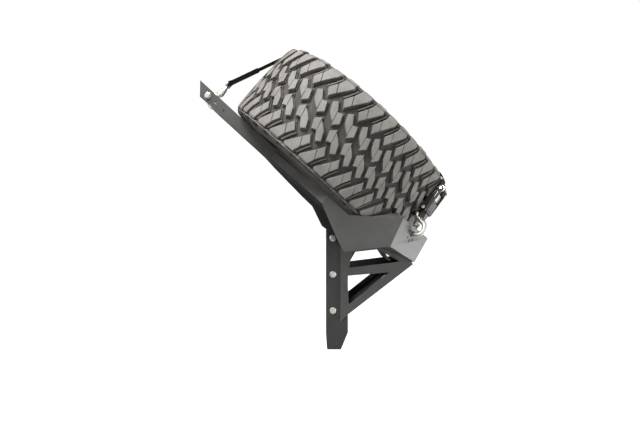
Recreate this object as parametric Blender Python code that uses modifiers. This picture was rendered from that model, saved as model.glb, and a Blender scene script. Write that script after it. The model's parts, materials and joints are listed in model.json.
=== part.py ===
"""Slant-back spare tyre carrier with its tyre, wheel and three-leg ratchet tie-down.

The origin is the middle of the tailgate mounting face. +Y points to the vehicle's front, +Z up, and X runs
across the vehicle, with its left side at -X. Lengths are in metres.
"""

import math

import bmesh
import bpy
from mathutils import Matrix, Vector

# Driving dimensions
LEAN = math.radians(42.5)                # slope of the rails and of the tyre's plane, from level
WHEEL_CENTRE = Vector((0.0, -0.063, 0.619))
TYRE_RADIUS = 0.4825
TYRE_HALF_WIDTH = 0.187
TREAD_HALF_WIDTH = 0.170
BEAD_RADIUS = 0.216
GAP = 0.0004                             # between pieces that touch
BOX_HALF = 0.150                         # outer face of the rails and keel sides
WING_HALF = 0.425                        # outer face of the cradle's wings
RAIL_PLATE = 0.006
SHEET = 0.005
RAIL_TOP = -0.1880                       # height of the rails' upper edge in the wheel's frame
RAIL_DEPTH = 0.053
CROSSBAR_U = -0.5775                     # place of the crossbar along the slope
HOLE_PITCH = 0.0478
CROSSBAR_RADIUS = 0.0125
BRACKET_TOP, BRACKET_FOOT = 0.270, -0.233
BRACKET_DEPTH = 0.056
SIDE_BOLT_Y = -0.0255
SIDE_BOLT_Z = (0.243, 0.088, -0.067)
BOLT_RADIUS = 0.006
LEG_ANGLE = math.radians(34.3)           # of the lower strap legs, either side of straight down the slope
WEB_WIDTH, WEB_THICK = 0.046, 0.0025
HOOK_BAR = 0.0065                        # radius of the hooks' round bar
HOOK_BOWL = 0.027                        # radius of the bowl's centre line
HOOK_EYE = 0.056                         # from the bowl's centre to the eye's cross bar
TOP_HOOK_EYE = 0.102                     # the same on the top hook, which has a longer neck
EYE_BAR = 0.0045
SLOT_BAR = 0.056                         # from the wheel's axis to the bars of the centre plate
LOOP_PLATE, LOOP_BAR = 0.0060, 0.0054    # inner radii of the sewn loops, on the plate and on a round bar
PLATE_LEVEL = TYRE_HALF_WIDTH + 0.008
RATCHET_BOLT = (0.4975, 0.0330)          # (radius, height) of the ratchet's end bolt and of its spool
RATCHET_SPOOL = (0.5020, 0.1330)
ROLL_RADIUS = 0.0150
GEAR_TIP, GEAR_ROOT = 0.0165, 0.0135
GEAR_OUT, GEAR_IN = 0.0263, 0.0240       # faces of the ratchet wheels, from the middle of the spool
FRAME_SIDE, FRAME_PLATE = 0.0235, 0.0025
HANDLE_SIDE, HANDLE_PLATE = 0.0294, 0.0025
HANDLE_RISE = math.radians(9)
AXLE_RADIUS = 0.0062

ACROSS = Vector((1.0, 0.0, 0.0))
DOWN = Vector((0.0, -math.cos(LEAN), -math.sin(LEAN)))
OUT = Vector((0.0, -math.sin(LEAN), math.cos(LEAN)))
SIDES = (("left", -1), ("right", 1))


def wheel_point(x, u, v):
    """A place in the wheel's frame: x across, u down the slope and v out along the wheel's axle."""
    return WHEEL_CENTRE + ACROSS * x + DOWN * u + OUT * v


def slope_yz(u, v):
    """The same place as the (Y, Z) of a side plate's outline."""
    point = wheel_point(0, u, v)
    return point.y, point.z


def frame(origin, x_axis, y_axis):
    """A matrix whose local axes are x_axis, y_axis and their cross product."""
    x_axis, y_axis = Vector(x_axis).normalized(), Vector(y_axis).normalized()
    rotation = Matrix((x_axis, y_axis, x_axis.cross(y_axis))).transposed().to_4x4()
    return Matrix.Translation(origin) @ rotation


def side_frame(x):
    """A frame whose local XY plane is the world's YZ plane at x."""
    return frame((x, 0, 0), (0, 1, 0), (0, 0, 1))


# Scene and materials
for old in list(bpy.data.objects):
    bpy.data.objects.remove(old, do_unlink=True)

parts = bpy.data.collections.new("spare_tire_carrier")
cutters = bpy.data.collections.new("cutters")
for group in (parts, cutters):
    bpy.context.scene.collection.children.link(group)

FINISHES = {
    "powder_coat": ((0.045, 0.045, 0.043), 0.55, 0.0),
    "dark_steel": ((0.03, 0.03, 0.03), 0.6, 0.2),
    "zinc": ((0.72, 0.70, 0.66), 0.32, 1.0),
    "rubber": ((0.035, 0.034, 0.032), 0.85, 0.0),
    "webbing": ((0.012, 0.012, 0.012), 0.9, 0.0),
    "wheel_paint": ((0.06, 0.06, 0.062), 0.4, 0.5),
}


def finish(thing, finish_name):
    """Gives a piece a material of its own in one of the finishes."""
    colour, roughness, metallic = FINISHES[finish_name]
    material = bpy.data.materials.new(thing.name + "_" + finish_name)
    material.use_nodes = True
    shader = material.node_tree.nodes["Principled BSDF"]
    shader.inputs["Base Color"].default_value = (*colour, 1)
    shader.inputs["Roughness"].default_value = roughness
    shader.inputs["Metallic"].default_value = metallic
    thing.data.materials.clear()
    thing.data.materials.append(material)


def add_object(name, data, matrix, finish_name):
    thing = bpy.data.objects.new(name, data)
    thing.matrix_world = matrix
    (parts if finish_name else cutters).objects.link(thing)
    if finish_name:
        finish(thing, finish_name)
    else:
        thing.hide_render = True
        thing.display_type = "WIRE"
    return thing


def as_mesh(thing, finish_name):
    """Turns a curve, or a piece with modifiers, into a welded mesh object of the same name."""
    bpy.context.view_layer.update()
    evaluated = thing.evaluated_get(bpy.context.evaluated_depsgraph_get())
    data = bpy.data.meshes.new_from_object(evaluated)
    name, matrix = thing.name, thing.matrix_world.copy()
    bpy.data.objects.remove(thing, do_unlink=True)
    mesh = bmesh.new()
    mesh.from_mesh(data)
    bmesh.ops.remove_doubles(mesh, verts=mesh.verts, dist=1e-6)
    bmesh.ops.recalc_face_normals(mesh, faces=mesh.faces)
    mesh.to_mesh(data)
    mesh.free()
    return add_object(name, data, matrix, finish_name)


def circle(y, z, radius, points=24):
    """A round loop of an outline."""
    turn = 2 * math.pi / points
    return [(y + radius * math.cos(i * turn), z + radius * math.sin(i * turn)) for i in range(points)]


def flat(name, loops, thickness, matrix, finish_name):
    """A plate from its outline and the loops of its openings, centred on its frame's XY plane."""
    curve = bpy.data.curves.new(name, "CURVE")
    curve.dimensions = "2D"
    curve.fill_mode = "BOTH"
    curve.extrude = thickness / 2
    for loop in loops:
        spline = curve.splines.new("POLY")
        spline.points.add(len(loop) - 1)
        for point, (x, y) in zip(spline.points, loop):
            point.co = (x, y, 0, 1)
        spline.use_cyclic_u = True
    return as_mesh(add_object(name, curve, matrix, finish_name), finish_name)


def side_plate(name, loops, outer, thickness, side, finish_name):
    """A plate across X whose outer face lies at outer, on the given side of the vehicle."""
    return flat(name, loops, thickness, side_frame(side * (outer - thickness / 2)), finish_name)


def rod(name, points, radius, matrix, finish_name, cyclic=False, sides=2):
    """A round bar along a line of points."""
    curve = bpy.data.curves.new(name, "CURVE")
    curve.dimensions = "3D"
    curve.bevel_depth = radius
    curve.bevel_resolution = sides
    curve.use_fill_caps = True
    spline = curve.splines.new("POLY")
    spline.points.add(len(points) - 1)
    for point, place in zip(spline.points, points):
        point.co = (*place, 1)
    spline.use_cyclic_u = cyclic
    return as_mesh(add_object(name, curve, matrix, finish_name), finish_name)


def turned(name, profile, matrix, finish_name, steps=48):
    """A closed profile of (radius, height) pairs, turned about the local Z axis."""
    mesh = bpy.data.meshes.new(name)
    count = len(profile)
    edges = [(i, (i + 1) % count) for i in range(count)]
    mesh.from_pydata([(radius, 0, height) for radius, height in profile], edges, [])
    thing = add_object(name, mesh, matrix, finish_name)
    screw = thing.modifiers.new("turn", "SCREW")
    screw.steps = screw.render_steps = steps
    screw.use_merge_vertices = True
    screw.merge_threshold = 1e-6
    return as_mesh(thing, finish_name)


def cylinder(name, radius, low, high, matrix, finish_name, segments=24, turn=0.0):
    """A solid cylinder, or with few segments a prism, from low to high along the local Z axis."""
    data = bpy.data.meshes.new(name)
    mesh = bmesh.new()
    place = Matrix.Translation((0, 0, (low + high) / 2)) @ Matrix.Rotation(turn, 4, "Z")
    bmesh.ops.create_cone(mesh, cap_ends=True, segments=segments, radius1=radius, radius2=radius,
                          depth=high - low, matrix=place)
    mesh.to_mesh(data)
    mesh.free()
    return add_object(name, data, matrix, finish_name)


def block(name, low, high, matrix, finish_name):
    """A box between two opposite corners."""
    low, high = Vector(low), Vector(high)
    data = bpy.data.meshes.new(name)
    mesh = bmesh.new()
    place = Matrix.Translation((low + high) / 2) @ Matrix.Diagonal((*(high - low), 1))
    bmesh.ops.create_cube(mesh, size=1, matrix=place)
    mesh.to_mesh(data)
    mesh.free()
    return add_object(name, data, matrix, finish_name)


def sheet(name, corners, faces, thickness, outside, finish_name):
    """Folded sheet metal: flat faces that share edges, thickened away from the outside point."""
    mesh = bmesh.new()
    verts = {key: mesh.verts.new(place) for key, place in corners.items()}
    for keys in faces:
        mesh.faces.new([verts[key] for key in keys])
    bmesh.ops.recalc_face_normals(mesh, faces=mesh.faces)
    largest = max(mesh.faces, key=lambda face: face.calc_area())
    if largest.normal.dot(Vector(outside) - largest.calc_center_median()) < 0:
        bmesh.ops.reverse_faces(mesh, faces=mesh.faces)
    data = bpy.data.meshes.new(name)
    mesh.to_mesh(data)
    mesh.free()
    thing = add_object(name, data, Matrix(), finish_name)
    solid = thing.modifiers.new("thickness", "SOLIDIFY")
    solid.thickness = thickness
    solid.offset = -1
    solid.use_even_offset = True
    return as_mesh(thing, finish_name)


def combine(thing, others, operation, finish_name):
    """Joins other pieces to this one, or cuts them from it, and removes them."""
    for other in others:
        cut = thing.modifiers.new(operation.lower(), "BOOLEAN")
        cut.operation = operation
        cut.solver = "EXACT"
        cut.object = other
    result = as_mesh(thing, finish_name)
    for other in others:
        bpy.data.objects.remove(other, do_unlink=True)
    return result


def smooth(thing, angle=35.0):
    thing.data.shade_smooth()
    thing.data.set_sharp_from_angle(angle=math.radians(angle))


def copy_of(thing, name, matrix, finish_name):
    return add_object(name, thing.data.copy(), matrix, finish_name)


# Frame of the carrier
def rail_holes():
    return [slope_yz(CROSSBAR_U + i * HOLE_PITCH, RAIL_TOP - RAIL_DEPTH / 2) for i in range(3)]


def build_rails():
    """The two upper rails with their pointed tips and three crossbar positions."""
    foot = RAIL_TOP - RAIL_DEPTH
    outline = [slope_yz(*p) for p in (
        (-0.646, RAIL_TOP), (-0.608, foot + 0.010), (-0.600, foot), (0.255, foot), (0.270, RAIL_TOP))]
    holes = [circle(y, z, BOLT_RADIUS + GAP, 16) for y, z in rail_holes()]
    for label, side in SIDES:
        side_plate("rail_" + label, [outline] + holes, BOX_HALF, RAIL_PLATE, side, "powder_coat")


def bolt_places():
    return [(SIDE_BOLT_Y, z) for z in SIDE_BOLT_Z]


def build_spine_sides():
    """The recessed side plates that run from the rails down over the tailgate bracket."""
    outline = [slope_yz(-0.300, -0.200), slope_yz(-0.300, -0.2380), slope_yz(-0.193, -0.2475),
               slope_yz(-0.004, -0.2585), slope_yz(0.064, -0.2600), (0.022, 0.295), (-0.0010, 0.278),
               (-0.0010, BRACKET_FOOT), (-0.0600, BRACKET_FOOT), (-0.0900, -0.160), (-0.0900, 0.130),
               (-0.1400, 0.215), slope_yz(0.330, -0.200)]
    holes = [circle(y, z, BOLT_RADIUS + GAP, 16) for y, z in bolt_places()]
    outer = BOX_HALF - RAIL_PLATE - GAP
    for label, side in SIDES:
        side_plate("spine_side_" + label, [outline] + holes, outer, RAIL_PLATE, side, "dark_steel")


def build_keel_sides():
    """The windowed side plates under the cradle: a post, a beam and a diagonal."""
    outline = [(-0.0570, -0.1140), (-0.0570, 0.2040), slope_yz(0.290, -0.2500), slope_yz(0.290, -0.1925),
               slope_yz(0.412, -0.1925), slope_yz(0.440, -0.1815), slope_yz(0.533, -0.1475),
               slope_yz(0.548, -0.1545), (-0.3706, 0.1343), (-0.0749, -0.0940)]
    upper = [(-0.1051, 0.1825), (-0.0966, 0.1169), (-0.3096, 0.1433), (-0.2240, 0.1960)]
    lower = [(-0.0881, 0.0824), (-0.0924, -0.0395), (-0.2662, 0.0977)]
    for label, side in SIDES:
        side_plate("keel_side_" + label, [outline, upper, lower], BOX_HALF, RAIL_PLATE, side, "powder_coat")


def inner_half():
    return BOX_HALF - RAIL_PLATE - GAP


def build_keel_belly():
    """The plate that closes the keel along its diagonal, with a lightening slot."""
    top, foot = Vector((0, -0.3640, 0.1290)), Vector((0, -0.0960, -0.0779))
    along = foot - top
    matrix = frame(top + Vector((0, 0.0018, 0.0024)), ACROSS, along)
    half, length = inner_half() - GAP, along.length
    outline = [(-half, 0), (half, 0), (half, length), (-half, length)]
    slot = [(-0.055, 0.11), (0.055, 0.11), (0.040, 0.21), (-0.040, 0.21)]
    return flat("keel_belly", [outline, slot], SHEET, matrix, "powder_coat")


def build_keel_brace():
    """The cross plate between the keel sides, behind the upper window's rear corner."""
    top, foot = Vector((0, -0.2300, 0.2030)), Vector((0, -0.2700, 0.1450))
    along = foot - top
    half, length = inner_half() - GAP, along.length
    outline = [(-half, 0), (half, 0), (half, length), (-half, length)]
    flat("keel_brace", [outline], SHEET * 0.8, frame(top, ACROSS, along), "powder_coat")


def build_spine_plates():
    """The two cross plates between the rails, behind the tyre."""
    half = inner_half() - RAIL_PLATE - GAP
    height = RAIL_TOP - 0.026
    matrix = frame(wheel_point(0, 0, height), ACROSS, DOWN)
    for name, high, low, count in (("spine_plate_upper", -0.455, -0.125, 2),
                                   ("spine_plate_lower", -0.110, 0.320, 3)):
        outline = [(-half, high), (half, high), (half, low), (-half, low)]
        pitch = (low - high) / count
        openings = [window(0, high + (i + 0.5) * pitch, 0.060, pitch * 0.33) for i in range(count)]
        flat(name, [outline] + openings, SHEET, matrix, "powder_coat")


def window(x, y, half_width, half_height, corner=0.018):
    """A rectangular opening with its corners cut off."""
    quarter = [(half_width, half_height - corner), (half_width - corner, half_height)]
    half = quarter + [(-a, b) for a, b in reversed(quarter)]
    return [(x + a, y + b) for a, b in half + [(-a, -b) for a, b in half]]


def wing_corners():
    """Corners of the left wing's outer surface."""
    return {
        "root_foot": wheel_point(-BOX_HALF - SHEET, -0.200, -0.2312),
        "root_top": wheel_point(-BOX_HALF - SHEET, -0.200, -0.1965),
        "fold_top": wheel_point(-WING_HALF, 0.093, -0.1965),
        "fold_foot": wheel_point(-WING_HALF, 0.093, -0.2312),
        "notch": wheel_point(-WING_HALF, 0.198, -0.1965),
        "knee": wheel_point(-WING_HALF, 0.2188, -0.2884),
        "heel": wheel_point(-WING_HALF, 0.277, -0.3094),
        "rim": wheel_point(-WING_HALF, 0.356, -0.0665),
        "base": wheel_point(-WING_HALF, 0.3905, -0.1776),
        "bend": wheel_point(-WING_HALF, 0.264, -0.1422),
        "flange": wheel_point(-0.370, 0.334, -0.0585),
        "end_top": wheel_point(-BOX_HALF - 0.001, 0.5250, -0.0300),
        "end_foot": wheel_point(-BOX_HALF - 0.001, 0.5512, -0.1440),
    }


def facet_frame(corners):
    """Frame of the rear-left facet at its hook hole: X along the rim, Y up the wall, Z out of it."""
    rim = corners["end_top"] - corners["rim"]
    wall = corners["rim"] - corners["base"]
    normal = rim.cross(wall).normalized()
    if normal.x > 0:
        normal = -normal
    up = normal.cross(rim).normalized()
    if up.z < 0:
        up = -up
    radial = -ACROSS * math.sin(LEG_ANGLE) + DOWN * math.cos(LEG_ANGLE)
    start = WHEEL_CENTRE + OUT * -0.076
    reach = (corners["rim"] - start).dot(normal) / radial.dot(normal)
    return Matrix((up.cross(normal), up, normal)).transposed().to_4x4(), start + radial * reach


def wing_cutter():
    """The hook hole of the rear-left facet and the arc of five slots under it."""
    rotation, place = facet_frame(wing_corners())
    matrix = Matrix.Translation(place) @ rotation
    hole = block("hook_hole", (-0.0105, -0.0120, -0.02), (0.0105, 0.0120, 0.02), matrix, None)
    slots = []
    for i in range(5):
        angle = math.radians(-90 + (i - 2) * 36)
        centre = Matrix.Translation((0.041 * math.cos(angle), 0.018 + 0.046 * math.sin(angle), 0))
        turn = centre @ Matrix.Rotation(angle, 4, "Z")
        slots.append(block(f"slot_{i}", (-0.0065, -0.0035, -0.02), (0.0065, 0.0035, 0.02),
                           matrix @ turn, None))
    return [hole] + slots


def build_wings():
    """The folded wings: flared arm, side wall with its turned-in rim, and slotted rear facet."""
    faces = (("root_foot", "root_top", "fold_top", "fold_foot"),
             ("fold_foot", "fold_top", "notch", "bend", "rim", "base", "heel", "knee"),
             ("rim", "end_top", "end_foot", "base"),
             ("bend", "flange", "rim"))
    left = sheet("wing_left", wing_corners(), faces, SHEET, (-3, -3, -1), "powder_coat")
    left = combine(left, wing_cutter(), "DIFFERENCE", "powder_coat")
    right = copy_of(left, "wing_right", Matrix(), "powder_coat")
    right.data.transform(Matrix.Scale(-1, 4, ACROSS))
    right.data.flip_normals()


def build_rear_wall():
    half = BOX_HALF - 0.0028
    corners = {
        "a": wheel_point(-half, 0.5250, -0.0300), "b": wheel_point(half, 0.5250, -0.0300),
        "c": wheel_point(half, 0.5512, -0.1440), "d": wheel_point(-half, 0.5512, -0.1440)}
    sheet("rear_wall", corners, (("a", "b", "c", "d"),), SHEET, (0, -3, -1), "powder_coat")


def build_floors():
    """The floor plates between the wings' lower edges and the keel sides."""
    for label, side in SIDES:
        inner, outer = side * (BOX_HALF + GAP), side * (WING_HALF - SHEET - 0.0012)
        corners = {
            "a": (inner, -0.0620, 0.2080), "b": (outer, -0.0620, 0.2100),
            "c": (outer, -0.2190, 0.2294), "d": (inner, -0.2050, 0.2095),
            "e": (inner, -0.3560, 0.1500)}
        sheet("floor_" + label, corners, (("a", "b", "d"), ("b", "c", "d"), ("c", "e", "d")), SHEET * 0.8,
              (0, 0, -3), "powder_coat")


def build_tread_rest():
    """The rubber block on the rear wall's inside that the tread stands on."""
    inner = TYRE_RADIUS + 0.0008
    outline = [slope_yz(inner, -0.045), slope_yz(inner, -0.130), slope_yz(0.5418, -0.130),
               slope_yz(0.5222, -0.045)]
    flat("tread_rest", [outline], 0.110, side_frame(0), "rubber")


def build_bracket():
    """The channel that bolts to the tailgate; its flanges lie between the spine sides."""
    half = inner_half() - RAIL_PLATE - GAP
    corners = {}
    for level, z in (("low", BRACKET_FOOT + 0.004), ("high", BRACKET_TOP)):
        for side, x in (("l", -half), ("r", half)):
            corners[level + side + "face"] = (x, 0, z)
            corners[level + side + "lip"] = (x, -BRACKET_DEPTH, z)
    faces = (("lowlface", "lowrface", "highrface", "highlface"),
             ("lowllip", "lowlface", "highlface", "highllip"),
             ("lowrface", "lowrlip", "highrlip", "highrface"))
    bracket = sheet("tailgate_bracket", corners, faces, RAIL_PLATE, (0, 3, 0), "dark_steel")
    holes = [cylinder(f"tailgate_hole_{i}_{j}", 0.0055, -0.02, 0.02,
                      frame((x, 0, z), (1, 0, 0), (0, 0, 1)), None, 16)
             for i, x in enumerate((-0.095, 0.095)) for j, z in enumerate((-0.190, -0.065, 0.090, 0.235))]
    holes += [cylinder(f"flange_hole_{i}", BOLT_RADIUS + GAP, -0.2, 0.2, side_frame(0) @
                       Matrix.Translation((y, z, 0)), None, 16) for i, (y, z) in enumerate(bolt_places())]
    combine(bracket, holes, "DIFFERENCE", "dark_steel")


# Fasteners
def bolt(name, y, z, outer, length, side, finish_name="zinc"):
    """A flanged hex bolt whose flange seats on the face at outer, with its shank towards X = 0."""
    matrix = frame((side * (outer + GAP), y, z), (0, 1, 0), (0, 0, side))
    flange = 0.014
    profile = [(0.0001, -length), (BOLT_RADIUS, -length), (BOLT_RADIUS, 0), (flange, 0),
               (flange, 0.0015), (0.0105, 0.0035), (0.0001, 0.0035)]
    shank = turned(name, profile[::-1], matrix, finish_name, 20)
    head = cylinder(name + "_head", 0.0104, 0.002, 0.0105, matrix, None, 6)
    return combine(shank, [head], "UNION", finish_name)


def nut(name, y, z, face, side):
    """A hex nut that seats inside the face at the given X."""
    matrix = frame((side * (face - GAP), y, z), (0, 1, 0), (0, 0, side))
    body = cylinder(name, 0.0110, -0.010, 0, matrix, "zinc", 6)
    bore = cylinder(name + "_bore", BOLT_RADIUS + GAP, -0.02, 0.01, matrix, None, 16)
    return combine(body, [bore], "DIFFERENCE", "zinc")


def build_side_bolts():
    outer = inner_half()
    flange_inside = outer - RAIL_PLATE - GAP - RAIL_PLATE
    for label, side in SIDES:
        for i, (y, z) in enumerate(bolt_places(), 1):
            bolt(f"side_bolt_{label}_{i}", y, z, outer, 0.026, side)
            nut(f"side_nut_{label}_{i}", y, z, flange_inside - GAP, side)


def build_crossbar():
    """The round bar between the rail tips, with a bolt into each end."""
    y, z = rail_holes()[0]
    half = inner_half() - GAP
    bar = cylinder("crossbar", CROSSBAR_RADIUS, -half, half, side_frame(0) @ Matrix.Translation((y, z, 0)),
                   "zinc", 24)
    bores = [cylinder(f"crossbar_bore_{label}", BOLT_RADIUS + GAP, half - 0.024, half + 0.01,
                      frame((0, y, z), (0, 1, 0), (0, 0, side)), None, 16) for label, side in SIDES]
    combine(bar, bores, "DIFFERENCE", "zinc")
    for label, side in SIDES:
        bolt("crossbar_bolt_" + label, y, z, BOX_HALF, 0.028, side)


# Tyre and wheel
def wheel_frame():
    return frame(WHEEL_CENTRE, ACROSS, -DOWN)


def build_tyre():
    """A hollow tyre, open towards the rim."""
    r, half, tread = TYRE_RADIUS, TYRE_HALF_WIDTH, TREAD_HALF_WIDTH
    outer = [(r, 0), (r - 0.002, tread * 0.6), (r - 0.008, tread), (r - 0.030, tread + 0.012),
             (r - 0.110, half), (r - 0.180, half - 0.008), (BEAD_RADIUS + 0.014, 0.1535)]
    bead = [(BEAD_RADIUS + 0.0008, 0.1500), (BEAD_RADIUS + 0.0008, 0.1330)]
    inner = [(BEAD_RADIUS + 0.030, 0.1400), (r - 0.125, half - 0.016), (r - 0.040, tread - 0.010),
             (r - 0.030, 0)]
    upper = outer + bead + inner
    lower = [(radius, -height) for radius, height in reversed(upper) if height]
    turned("tyre", upper + lower, wheel_frame(), "rubber", 64)


def build_wheel():
    """A wheel of two pieces: the barrel with its rim flanges, and the disc with its openings."""
    b = BEAD_RADIUS
    barrel = [(b + 0.016, 0.1545), (b + 0.017, 0.1585), (b + 0.012, 0.1605), (b - 0.006, 0.1580),
              (b - 0.008, 0.1300), (b - 0.030, 0.1000), (b - 0.030, -0.0400), (b - 0.012, -0.1000),
              (b - 0.008, -0.1580), (b + 0.012, -0.1605), (b + 0.017, -0.1585), (b + 0.016, -0.1545),
              (b, -0.1510), (b, -0.1000), (b - 0.023, -0.0350), (b - 0.023, 0.0970), (b, 0.1290),
              (b, 0.1510)]
    rim = turned("wheel_barrel", barrel[::-1], wheel_frame(), "wheel_paint", 48)
    valve = (wheel_frame() @ Matrix.Translation((0, b - 0.016, 0.1130))
             @ Matrix.Rotation(math.radians(54), 4, "X"))
    hole = cylinder("valve_hole", 0.0048, -0.03, 0.03, valve, None, 12)
    combine(rim, [hole], "DIFFERENCE", "wheel_paint")
    face = [(0.052, 0.060), (0.052, 0.074), (0.075, 0.076), (0.110, 0.092), (0.150, 0.090),
            (b - 0.0306, 0.070), (b - 0.0306, 0.058), (0.148, 0.080), (0.112, 0.082), (0.078, 0.062)]
    disc = turned("wheel_disc", face, wheel_frame(), "wheel_paint", 40)
    openings = []
    for i in range(8):
        turn = Matrix.Rotation(math.radians(45 * i + 22.5), 4, "Z")
        openings.append(cylinder(f"disc_window_{i}", 0.019, 0, 0.15,
                                 wheel_frame() @ turn @ Matrix.Translation((0.139, 0, 0)), None, 16))
    for i in range(5):
        turn = Matrix.Rotation(math.radians(72 * i), 4, "Z")
        openings.append(cylinder(f"lug_hole_{i}", 0.0075, 0, 0.15,
                                 wheel_frame() @ turn @ Matrix.Translation((0.0635, 0, 0)), None, 12))
    combine(disc, openings, "DIFFERENCE", "wheel_paint")
    stem = [(0.0001, -0.010), (0.0040, -0.010), (0.0040, 0.016), (0.0028, 0.018), (0.0028, 0.032),
            (0.0001, 0.032)]
    turned("valve_stem", stem[::-1], valve, "rubber", 12)


# Tie-down
def leg_frame(angle):
    """Frame of a strap leg: X out from the wheel's axis, Y out along the axle, at this angle from DOWN."""
    radial = DOWN * math.cos(angle) + ACROSS * math.sin(angle)
    return frame(WHEEL_CENTRE, radial, OUT)


def ribbon(points, thickness):
    """The outline of a band of this thickness along a line of points."""
    sides = ([], [])
    for i, point in enumerate(points):
        before, after = points[max(i - 1, 0)], points[min(i + 1, len(points) - 1)]
        along = (Vector(after) - Vector(before)).normalized()
        across = Vector((-along.y, along.x)) * thickness / 2
        if 0 < i < len(points) - 1:
            first = (Vector(point) - Vector(before)).normalized()
            across /= max(first.dot(along), 0.5)
        sides[0].append(Vector(point) + across)
        sides[1].append(Vector(point) - across)
    return [tuple(point) for point in sides[0] + sides[1][::-1]]


def arc(centre, radius, start, end, count):
    """Points on an arc, its angles in degrees."""
    found = []
    for i in range(count + 1):
        angle = math.radians(start + (end - start) * i / count)
        found.append((centre[0] + radius * math.cos(angle), centre[1] + radius * math.sin(angle)))
    return found


def over_shoulder():
    """The legs' line from the centre plate across the sidewall and over the shoulder to the tread."""
    lift = 0.0005 + WEB_THICK / 2
    side = TYRE_HALF_WIDTH + lift
    r, tread = TYRE_RADIUS, TREAD_HALF_WIDTH
    return [(SLOT_BAR + 0.0085, PLATE_LEVEL), (r - 0.190, side + 0.001), (r - 0.108, side + 0.0003),
            (r - 0.070, side - 0.0018), (r - 0.030 + lift * 0.9, tread + 0.0125 + lift * 0.5),
            (r - 0.0105 + lift, tread + 0.004 + lift * 0.2), (r - 0.006 + lift, tread - 0.003)]


def webbing(name, points, loops, angle, width=WEB_WIDTH):
    """A webbing leg along its points, with a sewn loop round each (place, inner radius)."""
    matrix = leg_frame(angle)
    band = flat(name, [ribbon(points, WEB_THICK)], width, matrix, "webbing")
    rings, bores = [], []
    for i, ((x, y), inner) in enumerate(loops):
        place = matrix @ Matrix.Translation((x, y, 0))
        rings.append(cylinder(f"{name}_ring_{i}", inner + WEB_THICK, -width / 2, width / 2, place, None, 20))
        bores.append(cylinder(f"{name}_bore_{i}", inner, -width, width, place, None, 20))
    band = combine(band, rings, "UNION", "webbing")
    return combine(band, bores, "DIFFERENCE", "webbing")


def hook_line(eye):
    """Centre line of a hook in its own plane: X along the pull, Y towards the shank's side."""
    bowl = arc((0, 0), HOOK_BOWL, -70, -270, 12)
    neck = [(0.012, 0.0258), (0.022, 0.0200), (0.031, 0.0100), (0.0375, 0.0025), (0.042, 0.0)]
    if eye > HOOK_EYE:
        neck.append((eye - 0.014, 0.0))
    return bowl + neck


def build_hook(label, matrix, eye_place=HOOK_EYE):
    """A snap hook with a wide eye, and the keeper that closes its mouth."""
    bar = rod("hook_" + label, [(x, y, 0) for x, y in hook_line(eye_place)], HOOK_BAR, matrix, "zinc", sides=2)
    half, corner = 0.0310, 0.006
    low, high = eye_place - 0.014, eye_place
    loop = [(low, 0, -half + corner), (low + corner * 0.7, 0, -half), (high - corner * 0.7, 0, -half),
            (high, 0, -half + corner), (high, 0, half - corner), (high - corner * 0.7, 0, half),
            (low + corner * 0.7, 0, half), (low, 0, half - corner)]
    eye = rod(f"hook_{label}_eye", loop, EYE_BAR, matrix, None, cyclic=True, sides=2)
    combine(bar, [eye], "UNION", "zinc")
    pivot, tip = keeper_line()
    keeper_matrix = matrix @ Matrix.Translation((*pivot, 0))
    reach = Vector(tip) - Vector(pivot)
    strip = ribbon([(0, 0), (reach.x * 0.5, reach.y * 0.5), tuple(reach)], 0.003)
    keeper = flat("keeper_" + label, [strip], 0.012, keeper_matrix, "zinc")
    barrel = cylinder(f"keeper_{label}_barrel", 0.0026, -0.006, 0.006, keeper_matrix, None, 12)
    combine(keeper, [barrel], "UNION", "zinc")


def keeper_line():
    """The keeper's hinge by the shank and its end by the hook's tip, in the hook's plane."""
    return (0.0183, 0.0093), (0.0095, -0.0176)


def lower_hook_frame(side):
    """A lower hook through its hole: its bowl hangs on the web between the hole and the rim."""
    angle = side * LEG_ANGLE
    place = leg_frame(angle) @ Vector((0.5285, -0.0463, 0))
    tilt = math.radians(33)
    radial = DOWN * math.cos(angle) + ACROSS * math.sin(angle)
    pull = OUT * math.cos(tilt) - radial * math.sin(tilt)
    shank = OUT * math.sin(tilt) + radial * math.cos(tilt)
    return frame(place, pull, shank)


def top_hook_frame():
    """The top hook round the crossbar, pulling up the line of the top leg."""
    centre = wheel_point(0, CROSSBAR_U, RAIL_TOP - RAIL_DEPTH / 2)
    pull = (OUT * 0.995 - DOWN * 0.10).normalized()
    shank = ACROSS.cross(pull).normalized()
    if shank.dot(DOWN) > 0:
        shank = -shank
    slack = HOOK_BOWL - HOOK_BAR - CROSSBAR_RADIUS - GAP
    return frame(centre + pull * slack, pull, shank)


def in_leg(place, angle):
    """A world place as (radius, height) in a leg's frame."""
    local = leg_frame(angle).inverted() @ place
    return local.x, local.y


def build_hooks():
    build_hook("top", top_hook_frame(), TOP_HOOK_EYE)
    for label, side in SIDES:
        build_hook(label, lower_hook_frame(side))


def toward(start, end, distance):
    start, end = Vector(start), Vector(end)
    return tuple(start + (end - start).normalized() * distance)


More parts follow.
